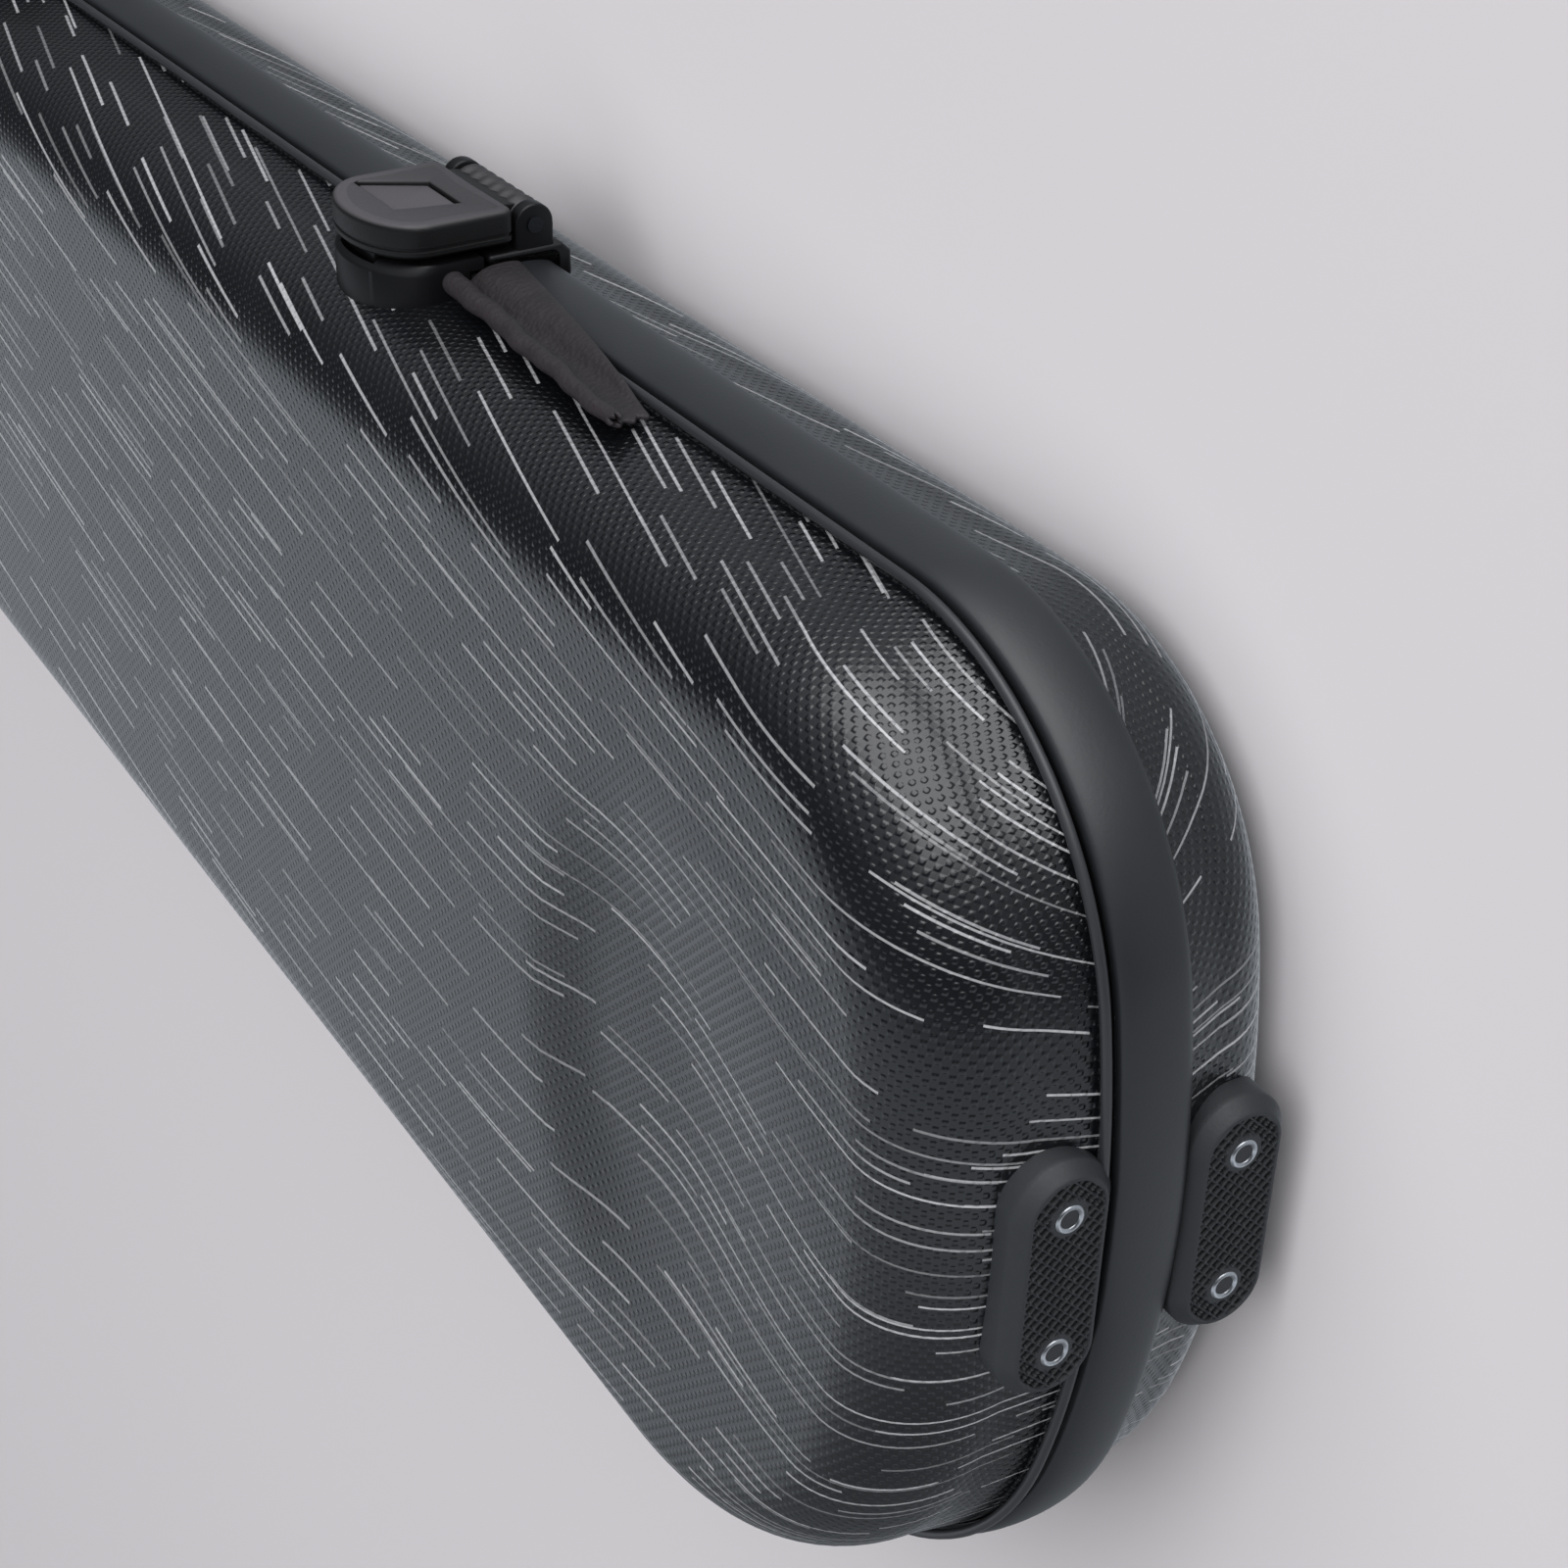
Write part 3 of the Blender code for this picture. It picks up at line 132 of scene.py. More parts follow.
class CaseSizes(bpy.types.PropertyGroup):
    """Sizes of the case's finishes and of its soft parts."""

    emboss_pitch: FloatProperty(name="Emboss pitch", description="Spacing of the skin's raised domes",
                                default=1.35 * MM, unit="LENGTH")
    emboss_height: FloatProperty(name="Emboss height", description="Height of the raised domes",
                                 default=0.09 * MM, unit="LENGTH")
    line_spacing: FloatProperty(name="Line spacing", description="Spacing of the printed lines' rows",
                                default=2.8 * MM, unit="LENGTH")
    line_width: FloatProperty(name="Line width", description="Width of a printed line",
                              default=0.5 * MM, unit="LENGTH")
    dash_length: FloatProperty(name="Dash length", description="Length of a printed dash and its gap",
                               default=42.0 * MM, unit="LENGTH")
    net_pitch: FloatProperty(name="Foot net pitch", description="Spacing of the cross net on the feet",
                             default=1.2 * MM, unit="LENGTH")
    side_steps: IntProperty(name="Side steps", description="Faces along each straight side",
                            default=190, min=20)


class CaseColours(bpy.types.PropertyGroup):
    """Colours of the case's finishes."""

    film: FloatVectorProperty(name="Film", description="Ground colour of the shells' film", subtype="COLOR",
                              size=3, min=0.0, max=1.0, default=linear("0c0d10"))
    lines: FloatVectorProperty(name="Lines", description="Printed lines", subtype="COLOR", size=3,
                               min=0.0, max=1.0, default=linear("b4b5b8"))
    strip: FloatVectorProperty(name="Rim strip", description="Rubber strip round the rim", subtype="COLOR",
                               size=3, min=0.0, max=1.0, default=linear("1f2124"))
    fittings: FloatVectorProperty(name="Fittings", description="Latches and handle brackets",
                                  subtype="COLOR", size=3, min=0.0, max=1.0, default=linear("514e52"))
    leather: FloatVectorProperty(name="Leather", description="Pull tab", subtype="COLOR", size=3,
                                 min=0.0, max=1.0, default=linear("312c30"))
    velvet: FloatVectorProperty(name="Velvet", description="Linings", subtype="COLOR", size=3,
                                min=0.0, max=1.0, default=linear("34353d"))
    floor: FloatVectorProperty(name="Floor", description="Studio floor", subtype="COLOR", size=3,
                               min=0.0, max=1.0, default=linear("d2cfd3"))


def sizes():
    return bpy.context.scene.bow_case_sizes


def colours():
    return bpy.context.scene.bow_case_colours


# Surfaces

def arc(centre, radius, start, end, steps):
    """Points on a circle from one angle to another: centre + radius (cos a, sin a), with their normals."""
    turn = np.linspace(start, end, steps + 1)
    normal = np.stack([np.cos(turn), np.sin(turn)], 1)
    return np.asarray(centre) + radius * normal, normal


def eased(share):
    """A share clipped to 0 and 1 and smoothed at both ends: s s (3 - 2 s)."""
    share = np.clip(share, 0.0, 1.0)
    return share * share * (3.0 - 2.0 * share)


def at_height(flat, z):
    """Plan points at one height, or at one each."""
    return np.column_stack([flat, np.broadcast_to(z, len(flat))])


def front_line(x):
    """Y of the front side's rim line: the spine's Y less the width there, which falls evenly along X."""
    return SPINE_Y - WIDE_WIDTH + (x + LENGTH / 2.0) * math.tan(TAPER)


def end_chain(end, side, nose_steps=18, corner_steps=30):
    """From a tip to where a straight side starts: an arc of the nose, then the corner arc inside it."""
    sign, nose, nose_from_spine, front_corner, spine_corner = end
    centre = np.array([sign * (LENGTH / 2.0 - nose), SPINE_Y - nose_from_spine])
    if side == "spine":
        corner = spine_corner
        drop = centre[1] - (SPINE_Y - corner)
        reach = math.sqrt((nose - corner) ** 2 - drop ** 2)
        middle = np.array([centre[0] + sign * reach, SPINE_Y - corner])
        last = math.pi / 2.0
    else:
        corner = front_corner
        along = np.array([math.cos(TAPER), math.sin(TAPER)])
        inward = np.array([-math.sin(TAPER), math.cos(TAPER)])
        start = np.array([0.0, front_line(0.0)]) + inward * corner
        away = start - centre
        half = away @ along
        root = math.sqrt(half ** 2 - away @ away + (nose - corner) ** 2)
        middle = start + along * (-half + sign * root)
        last = TAPER - math.pi / 2.0
    tip = math.pi if sign < 0.0 else 0.0
    meet = math.atan2(middle[1] - centre[1], middle[0] - centre[0])
    if sign < 0.0:
        meet, last = meet % math.tau, last % math.tau
    points, normals = arc(centre, nose, tip, meet, nose_steps)
    more, more_normals = arc(middle, corner, meet, last, corner_steps)
    return np.vstack([points, more[1:]]), np.vstack([normals, more_normals[1:]])


def side_chain(side, steps):
    """One half of the rim from the wide tip to the narrow tip: two ends joined by a straight run."""
    wide, wide_normals = end_chain(WIDE_END, side)
    narrow, narrow_normals = end_chain(NARROW_END, side)
    share = np.linspace(0.0, 1.0, steps + 1)[1:-1, None]
    run = wide[-1] + (narrow[-1] - wide[-1]) * share
    normal = np.repeat(wide_normals[-1:], len(run), 0)
    return np.vstack([wide, run, narrow[::-1]]), np.vstack([wide_normals, normal, narrow_normals[::-1]])


def rim(finer=1):
    """The whole rim as one loop, anticlockwise from above: the front half, then the spine half back."""
    front, front_normals = side_chain("front", finer * sizes().side_steps)
    spine, spine_normals = side_chain("spine", finer * sizes().side_steps)
    return np.vstack([front, spine[-2:0:-1]]), np.vstack([front_normals, spine_normals[-2:0:-1]])


def section(depth, steps):
    """A shell's wall: a straight drafted part, then a quarter of an ellipse, at even steps of its length.

    Returns height over the edge, inset from the rim line and length run so far.
    """
    t = np.linspace(0.0, 1.0, 400)
    quarter = t * math.pi / 2.0
    rest = 1.0 - STRAIGHT_SHARE
    height = depth * np.concatenate([STRAIGHT_SHARE * t, STRAIGHT_SHARE + rest * np.sin(quarter)[1:]])
    inset = np.concatenate([DRAFT * t, DRAFT + EDGE_ROUND * (1.0 - np.cos(quarter))[1:]])
    run = np.concatenate([[0.0], np.cumsum(np.hypot(np.diff(height), np.diff(inset)))])
    even = np.linspace(0.0, run[-1], steps + 1)
    return np.interp(even, run, height), np.interp(even, run, inset), even


def dish(x, y):
    """Depth of the shallow dish in the front face: even in its middle, smooth to nothing at its oval rim.

    Its side towards the middle of the case falls steeply, its side towards the wide end rises gently. The
    share of the way to the rim that stays flat turns from 0.05 at the wide end to 0.53 at the other.
    """
    along = (x - DISH_X) / np.where(x > DISH_X, DISH_STEEP, DISH_GENTLE)
    away = np.hypot(along, (y - DISH_Y) / DISH_ACROSS)
    flat = 0.29 + 0.24 * along / np.maximum(away, 1e-6)
    return DISH_DEPTH * (1.0 - eased((away - flat) / (1.0 - flat)))


def numbered(loops):
    """The index grid of an array of loops of points."""
    return np.arange(loops.shape[0] * loops.shape[1]).reshape(loops.shape[:2])


def band_faces(rows, closed=True):
    """Quads between neighbouring rows of an index grid, wrapped along each row if closed."""
    low, high = rows[:-1], rows[1:]
    if closed:
        low_next, high_next = np.roll(low, -1, 1), np.roll(high, -1, 1)
    else:
        low, low_next = low[:, :-1], low[:, 1:]
        high, high_next = high[:, :-1], high[:, 1:]
    return np.stack([low, low_next, high_next, high], -1).reshape(-1, 4).tolist()


def capped(ring, rungs, even=0.0):
    """Fill a ring of 2 n - 2 points with straight rungs between its two halves.

    Returns the inner points, row by row between the halves, and the faces, in which the inner points
    follow the ring's own. The rungs lie at equal shares of the width, or, if even is over 0, four fifths
    of them fill that distance from the spine, so that they run parallel to it.
    """
    half = len(ring) // 2 + 1
    front = ring[:half]
    spine = np.vstack([ring[:1], ring[:half - 2:-1]])
    share = np.linspace(0.0, 1.0, rungs + 1)[None, 1:-1]
    if even > 0.0:
        width = np.linalg.norm(spine - front, axis=1)[1:-1, None]
        reach = np.minimum(even / np.maximum(width, 1e-9), 0.93)
        back = (1.0 - share) / 0.8
        share = 1.0 - np.where(back < 1.0, reach * back, reach + (1.0 - reach) * (back - 1.0) / 0.25)
    inner = front[1:-1, None] + (spine[1:-1, None] - front[1:-1, None]) * share[..., None]
    grid = np.zeros((half - 2, rungs + 1), int)
    grid[:, 0] = np.arange(1, half - 1)
    grid[:, -1] = len(ring) - np.arange(1, half - 1)
    grid[:, 1:-1] = len(ring) + np.arange((half - 2) * (rungs - 1)).reshape(half - 2, rungs - 1)
    faces = band_faces(grid.T, closed=False)
    first, last = grid[0], grid[-1]
    faces += np.stack([np.zeros(rungs, int), first[:-1], first[1:]], -1).tolist()
    faces += np.stack([last[:-1], np.full(rungs, half - 1), last[1:]], -1).tolist()
    return inner.reshape(-1, ring.shape[1]), faces


def filled(rings, rungs, even=0.0):
    """Rings joined one on the next, the last filled with rungs: ring points, inner points and faces."""
    rows = numbered(rings)
    inner, cap = capped(rings[-1], rungs, even)
    return rings.reshape(-1, 3), inner, band_faces(rows) + [[i + rows[-1, 0] for i in f] for f in cap]


def outward(points, faces):
    """Turn the faces of a closed form over if its volume, summed over fans of triangles, is negative."""
    corners = np.array([(f[0], f[k], f[k + 1]) for f in faces for k in range(1, len(f) - 1)])
    first, second, third = points[corners].transpose(1, 0, 2)
    total = np.einsum("ij,ij->", first, np.cross(second, third))
    return [f[::-1] for f in faces] if total < 0.0 else faces


def swept(loops):
    """Faces of loops joined into a ring of tube: both ways round wrap."""
    rows = numbered(loops)
    return loops.reshape(-1, 3), band_faces(np.vstack([rows, rows[:1]]))


def stacked(loops):
    """Loops joined one on the next, with a flat face over each end."""
    rows = numbered(loops)
    return loops.reshape(-1, 3), band_faces(rows) + [rows[0, ::-1].tolist(), rows[-1].tolist()]


def turned(profile, steps=40):
    """A profile of radius and height turned about Z; its two ends lie on the axis and are single points."""
    profile = np.asarray(profile)
    turn = np.linspace(0.0, math.tau, steps, endpoint=False)
    ring = profile[1:-1, None, 0]
    loops = np.stack([ring * np.cos(turn), ring * np.sin(turn), np.repeat(profile[1:-1, 1:], steps, 1)], -1)
    rows = numbered(loops)
    points = np.vstack([loops.reshape(-1, 3), [[0.0, 0.0, profile[0, 1]], [0.0, 0.0, profile[-1, 1]]]])
    low, high = len(points) - 2, len(points) - 1
    faces = band_faces(rows) + [[low, b, a] for a, b in zip(rows[0], np.roll(rows[0], -1))]
    faces += [[high, a, b] for a, b in zip(rows[-1], np.roll(rows[-1], -1))]
    return points, faces


def outline_offset(outline, grow):
    """A closed outline moved outward by a distance along each corner's mitre."""
    outline = np.asarray(outline, float)
    area = np.sum(outline[:, 0] * np.roll(outline[:, 1], -1) - np.roll(outline[:, 0], -1) * outline[:, 1])
    step = np.roll(outline, -1, 0) - outline
    step /= np.linalg.norm(step, axis=1)[:, None]
    normal = np.stack([step[:, 1], -step[:, 0]], 1) * math.copysign(1.0, area)
    before = np.roll(normal, 1, 0)
    mitre = (normal + before) / (1.0 + np.sum(normal * before, 1))[:, None]
    return outline + mitre * grow


def rounded(outline, radius, steps=4):
    """An outline with each corner cut by an arc of up to this radius; short edges get a smaller one."""
    outline = np.asarray(outline, float)
    points = []
    for before, corner, after in zip(np.roll(outline, 1, 0), outline, np.roll(outline, -1, 0)):
        back, ahead = before - corner, after - corner
        long_back, long_ahead = np.linalg.norm(back), np.linalg.norm(ahead)
        back, ahead = back / long_back, ahead / long_ahead
        angle = math.acos(float(np.clip(back @ ahead, -1.0, 1.0)))
        if angle > math.radians(172.0):
            points.append(corner)
            continue
        reach = min(radius / math.tan(angle / 2.0), 0.45 * long_back, 0.45 * long_ahead)
        bow = reach * math.tan(angle / 2.0)
        middle = corner + (back + ahead) / np.linalg.norm(back + ahead) * bow / math.sin(angle / 2.0)
        start, end = corner + back * reach - middle, corner + ahead * reach - middle
        turn = math.atan2(start[1], start[0])
        swing = (math.atan2(end[1], end[0]) - turn + math.pi) % math.tau - math.pi
        points += list(arc(middle, bow, turn, turn + swing, steps)[0])
    return np.array(points)


def soft_prism(outline, low, high, edge=0.5 * MM, steps=4):
    """An outline in local X and Y carried along local Z, its end edges rounded by quarter circles."""
    turn = np.linspace(0.0, math.pi / 2.0, steps + 1)
    levels = [(edge * (math.sin(a) - 1.0), low + edge * (1.0 - math.cos(a))) for a in turn]
    levels += [(edge * (math.cos(a) - 1.0), high - edge * (1.0 - math.sin(a))) for a in turn]
    return stacked(np.array([at_height(outline_offset(outline, grow), z) for grow, z in levels]))


def joined(*forms):
    """Several closed forms as one set of points and faces."""
    points, faces, start = [], [], 0
    for some, some_faces in forms:
        faces += [[i + start for i in f] for f in outward(some, some_faces)]
        points.append(some)
        start += len(some)
    return np.vstack(points), faces


def axes(first, second, third, point=(0.0, 0.0, 0.0)):
    """A frame of three axes and a point as a matrix of four by four."""
    return np.vstack([np.column_stack([first, second, third, point]), [0.0, 0.0, 0.0, 1.0]])


def side_frame(side, x, height=SEAM):
    """A frame on a side of the rim: local X along it, local Y out of the case, local Z up."""
    out, point = {"front": ((math.sin(TAPER), -math.cos(TAPER), 0.0), (x, front_line(x), height)),
                  "spine": ((0.0, 1.0, 0.0), (x, SPINE_Y, height)),
                  "end": ((-1.0, 0.0, 0.0), (-LENGTH / 2.0, x, height))}[side]
    return axes(np.cross(out, PLAIN_UP), out, PLAIN_UP, point)


# From a form drawn in local X and Y to the side's frame: carried along the rim, or facing out of the case
ALONG = axes((0.0, 1.0, 0.0), (0.0, 0.0, 1.0), (1.0, 0.0, 0.0))
FACING = axes((1.0, 0.0, 0.0), (0.0, 0.0, -1.0), (0.0, 1.0, 0.0))


def moved(form, place):
    """A form of points and faces taken from a local frame to the case's."""
    return form[0] @ place[:3, :3].T + place[:3, 3], form[1]


def linked(name, data):
    """An object for some data, in the scene's collection."""
    obj = bpy.data.objects.new(name, data)
    bpy.context.scene.collection.objects.link(obj)
    return obj


def put(name, form, look, body, replaces, sharp=32.0, values=None, closed=True):
    """Make a mesh object from a form, with its finish, its body and the nodes that it stands for.

    sharp is the angle in degrees from which an edge stays sharp, and values are vectors kept at the points.
    A closed form's faces are turned outward; a sheet's or a joined form's are left as they are.
    """
    points, faces = form
    if closed:
        faces = outward(points, faces)
    mesh = bpy.data.meshes.new(name)
    mesh.from_pydata(points, [], faces)
    for key, array in (values or {}).items():
        layer = mesh.attributes.new(key, "FLOAT_VECTOR", "POINT")
        layer.data.foreach_set("vector", np.ascontiguousarray(array, np.float32).ravel())
    mesh.shade_smooth()
    mesh.set_sharp_from_angle(angle=math.radians(sharp))
    mesh.materials.append(look)
    obj = linked(name, mesh)
    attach(obj, body)
    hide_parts(*replaces)
    return obj


# Finishes

def wire(tree, made, inputs):
    """Give each input of a node a value, a socket, or the first output in use of another node."""
    for key, value in inputs.items():
        if isinstance(value, bpy.types.Node):
            value = next(output for output in value.outputs if output.enabled)
        if isinstance(value, bpy.types.NodeSocket):
            tree.links.new(value, made.inputs[key])
        else:
            made.inputs[key].default_value = value


def node(tree, kind, inputs=None, **settings):
    """Add a node, set its properties and wire its inputs."""
    made = tree.nodes.new("ShaderNode" + kind)
    for key, value in settings.items():
        setattr(made, key, value)
    wire(tree, made, inputs or {})
    return made


def new_finish(name, **constants):
    """A material with a Principled shader whose constant inputs are set; returns it, its tree and shader.

    A finish that is already made comes back alone, without its tree.
    """
    look = bpy.data.materials.get(name)
    if look:
        return look, None, None
    look = bpy.data.materials.new(name)
    look.use_nodes = True
    tree = look.node_tree
    shader = tree.nodes["Principled BSDF"]
    for key, value in constants.items():
        shader.inputs[key.replace("_", " ").title().replace("Ior", "IOR")].default_value = value
    return look, tree, shader


def dashes(tree, flow, spacing, width, period, keep, shift):
    """Mask of printed dashes: rows across the flow, each cut into pieces of its own length and strength.

    A row is a whole step of flow Y / spacing, its line wanders inside it, and along X it is cut where
    X / stretch passes whole numbers; chance says which pieces stay, how long and how bright they are.
    """
    place = node(tree, "Math", {0: flow["Y"], 1: 1.0 / spacing, 2: shift}, operation="MULTIPLY_ADD")
    row = node(tree, "Math", {0: place}, operation="FLOOR")
    luck = node(tree, "TexWhiteNoise", {"W": row}, noise_dimensions="1D")
    lucks = node(tree, "SeparateColor", {"Color": luck.outputs["Color"]}).outputs
    wander = node(tree, "MapRange", {"Value": lucks[0], "To Min": 0.2, "To Max": 0.8})
    off = node(tree, "Math", {0: place}, operation="FRACT")
    off = node(tree, "Math", {0: off, 1: wander}, operation="SUBTRACT")
    off = node(tree, "Math", {0: off}, operation="ABSOLUTE")
    line = node(tree, "MapRange", {"Value": off, "From Min": width * 0.3 / spacing,
                                   "From Max": width * 0.65 / spacing, "To Min": 1.0, "To Max": 0.0},
                interpolation_type="SMOOTHSTEP")
    stretch = node(tree, "MapRange", {"Value": lucks[1], "To Min": 0.6 / period, "To Max": 1.6 / period})
    start = node(tree, "Math", {0: lucks[2], 1: 37.0}, operation="MULTIPLY")
    along = node(tree, "Math", {0: flow["X"], 1: stretch, 2: start}, operation="MULTIPLY_ADD")
    piece = node(tree, "Math", {0: along}, operation="FLOOR")
    spot = node(tree, "CombineXYZ", {"X": piece, "Y": row, "Z": shift})
    chance = node(tree, "TexWhiteNoise", {"Vector": spot}, noise_dimensions="3D")
    chances = node(tree, "SeparateColor", {"Color": chance.outputs["Color"]}).outputs
    size = node(tree, "MapRange", {"Value": chances[0], "To Min": 0.25, "To Max": 0.95})
    inside = node(tree, "Math", {0: along}, operation="FRACT")
    inside = node(tree, "Math", {0: inside, 1: size}, operation="LESS_THAN")
    kept = node(tree, "Math", {0: chance.outputs["Value"], 1: keep}, operation="LESS_THAN")
    strength = node(tree, "MapRange", {"Value": chances[2], "To Min": 0.3, "To Max": 1.0})
    dash = node(tree, "Math", {0: inside, 1: kept}, operation="MULTIPLY")
    dash = node(tree, "Math", {0: dash, 1: strength}, operation="MULTIPLY")
    return node(tree, "Math", {0: dash, 1: line}, operation="MULTIPLY")


def film_finish():
    """Polycarbonate shell with a printed film, embossed while it was formed.

    The emboss raises small domes from a glossy black ground, where the sum of two cosines across the
    diagonals is high. The silver print is dashes that follow the film's own flow, kept in the skin's
    attributes because the film stretched over the form.
    """
    look, tree, shader = new_finish("embossed_film", ior=1.585)
    if tree is None:
        return look
    size, colour = sizes(), colours()
    flow = node(tree, "Attribute", attribute_name="flow").outputs["Vector"]
    flow = node(tree, "SeparateXYZ", {"Vector": flow}).outputs
    spacing, width, period = (value / MM for value in (size.line_spacing, size.line_width, size.dash_length))
    fine = dashes(tree, flow, spacing, width, period, 0.7, 3.0)
    rare = dashes(tree, flow, spacing * 1.6, width * 0.85, period * 2.2, 0.6, 51.0)
    mask = node(tree, "Math", {0: fine, 1: rare}, operation="MAXIMUM")
    # Flow Z is painted shade: it dims the lines on the face.
    mask = node(tree, "Math", {0: mask, 1: flow["Z"]}, operation="MULTIPLY")
    sheet = node(tree, "Attribute", attribute_name="sheet").outputs["Vector"]
    sheet = node(tree, "SeparateXYZ", {"Vector": sheet}).outputs
    pace = math.tau / (size.emboss_pitch / MM * math.sqrt(2.0))
    waves = []
    for turn in ("ADD", "SUBTRACT"):
        wave = node(tree, "Math", {0: sheet["X"], 1: sheet["Y"]}, operation=turn)
        wave = node(tree, "Math", {0: wave, 1: pace}, operation="MULTIPLY")
        waves.append(node(tree, "Math", {0: wave}, operation="COSINE"))
    domes = node(tree, "Math", {0: waves[0], 1: waves[1]}, operation="ADD")
    domes = node(tree, "MapRange", {"Value": domes, "From Min": -0.2, "From Max": 1.8},
                 interpolation_type="SMOOTHSTEP")
    place = node(tree, "TexCoord").outputs["Object"]
    cloud = node(tree, "TexNoise", {"Vector": place, "Scale": 60.0, "Detail": 2.0})
    dust = node(tree, "MapRange", {"Value": cloud, "To Min": 0.6, "To Max": 1.4})
    ground = node(tree, "Mix", {"Factor": 1.0, "A": (*colour.film, 1.0), "B": dust}, data_type="RGBA",
                  blend_type="MULTIPLY")
    skin = node(tree, "Mix", {"Factor": mask, "A": ground, "B": (*colour.lines, 1.0)}, data_type="RGBA")
    bump = node(tree, "Bump", {"Height": domes, "Distance": size.emboss_height})
    gloss = node(tree, "MapRange", {"Value": cloud, "To Min": 0.22, "To Max": 0.3})
    wire(tree, shader, {"Base Color": skin, "Roughness": gloss, "Normal": bump})
    return look


def grained_finish(name, colour, roughness, grain, depth, **constants):
    """Moulded rubber or plastic: one colour in faintly uneven tone, with a fine spark-eroded grain.

    grain is the size of the grain in metres and depth its height.
    """
    look, tree, shader = new_finish(name, **constants)
    if tree is None:
        return look
    place = node(tree, "TexCoord").outputs["Object"]
    fine = node(tree, "TexNoise", {"Vector": place, "Scale": 1.0 / grain, "Detail": 3.0})
    broad = node(tree, "TexNoise", {"Vector": place, "Scale": 45.0, "Detail": 3.0})
    tone = node(tree, "MapRange", {"Value": broad, "To Min": 0.75, "To Max": 1.25})
    shade = node(tree, "Mix", {"Factor": 1.0, "A": (*colour, 1.0), "B": tone}, data_type="RGBA",
                 blend_type="MULTIPLY")
    worn = node(tree, "MapRange", {"Value": broad, "To Min": roughness - 0.07, "To Max": roughness + 0.07})
    bump = node(tree, "Bump", {"Height": fine, "Distance": depth})
    wire(tree, shader, {"Base Color": shade, "Roughness": worn, "Normal": bump})
    return look


def masked_finish(name, mask, off, on, scale, detail, dull, **constants):
    """A moulded finish that goes from one colour to another by the X of a mesh attribute.

    scale and detail are those of its grain's noise, dull is its range of roughness.
    """
    look, tree, shader = new_finish(name, **constants)
    if tree is None:
        return look
    share = node(tree, "Attribute", attribute_name=mask).outputs["Vector"]
    share = node(tree, "SeparateXYZ", {"Vector": share}).outputs["X"]
    place = node(tree, "TexCoord").outputs["Object"]
    noise = node(tree, "TexNoise", {"Vector": place, "Scale": scale, "Detail": detail})
    shade = node(tree, "Mix", {"Factor": share, "A": (*off, 1.0), "B": (*on, 1.0)}, data_type="RGBA")
    worn = node(tree, "MapRange", {"Value": noise, "To Min": dull[0], "To Max": dull[1]})
    bump = node(tree, "Bump", {"Height": noise, "Distance": 0.03 * MM})
    wire(tree, shader, {"Base Color": shade, "Roughness": worn, "Normal": bump})
    return look


def metal_finish(name, stretch, detail, high, low, dull):
    """A metal whose tone and roughness follow one noise, of this scale along each axis."""
    look, tree, shader = new_finish(name, metallic=1.0)
    if tree is None:
        return look
    place = node(tree, "Mapping", {"Vector": node(tree, "TexCoord").outputs["Object"], "Scale": stretch})
    marks = node(tree, "TexNoise", {"Vector": place, "Scale": 1.0, "Detail": detail})
    shade = node(tree, "Mix", {"Factor": marks, "A": (*high, 1.0), "B": (*low, 1.0)}, data_type="RGBA")
    tone = node(tree, "MapRange", {"Value": marks, "To Min": dull[0], "To Max": dull[1]})
    wire(tree, shader, {"Base Color": shade, "Roughness": tone})
    return look


def strip_finish():
    """Extruded thermoplastic rubber: smooth charcoal with a soft satin sheen."""
    return grained_finish("extruded_rubber", colours().strip, 0.42, 0.5 * MM, 0.02 * MM)


def bead_finish():
    """Extruded vinyl bead: a little glossier than the strip."""
    return grained_finish("vinyl_bead", linear("2a2b2e"), 0.36, 0.5 * MM, 0.01 * MM)


def foot_finish():
    """Moulded rubber feet: satin charcoal, with painted shade near black in the hollows of the top's net."""
    return masked_finish("rubber_painted_hollow_shade", "hollow", linear("2a2c2f"), linear("020202"), 2400.0, 2.0,
                         (0.45, 0.65), specular_ior_level=0.35)


def fitting_finish():
    """Injection-moulded ABS with a spark-eroded grain: dark grey with a faint warm sheen."""
    return grained_finish("moulded_abs", colours().fittings, 0.5, 0.35 * MM, 0.03 * MM)


def hasp_finish():
    """Hasp and button in grained grey: painted light on the top face, painted shade near black on the sides.
    """
    return masked_finish("abs_painted_lit_top", "top", linear("0a0a0b"), colours().fittings, 2800.0, 3.0,
                         (0.42, 0.58), specular_ior_level=0.4)


def dark_fitting_finish():
    """Polished ABS, nearly black: the latches' fixed parts, the lid's lip and the shells' bare inside."""
    return grained_finish("polished_abs", linear("0c0c0e"), 0.42, 0.35 * MM, 0.015 * MM,
                          specular_ior_level=0.3)


def grip_finish():
    """Soft-touch rubber over the handle."""
    return grained_finish("soft_rubber", linear("1f2022"), 0.6, 0.6 * MM, 0.04 * MM)


def steel_finish():
    """Nickel-plated steel rivets and pins: bright with fine turning marks."""
    return metal_finish("nickel_steel", (2200.0, 2200.0, 2200.0), 2.0, linear("d3d5d8"), linear("a9abb0"),
                        (0.2, 0.4))


def blackened_finish():
    """Blackened steel hinges and latch pins: dark grey with a brushed streak along the leaf."""
    return metal_finish("blackened_steel", (120.0, 2500.0, 2500.0), 3.0, linear("4b4d52"), linear("2f3135"),
                        (0.3, 0.55))


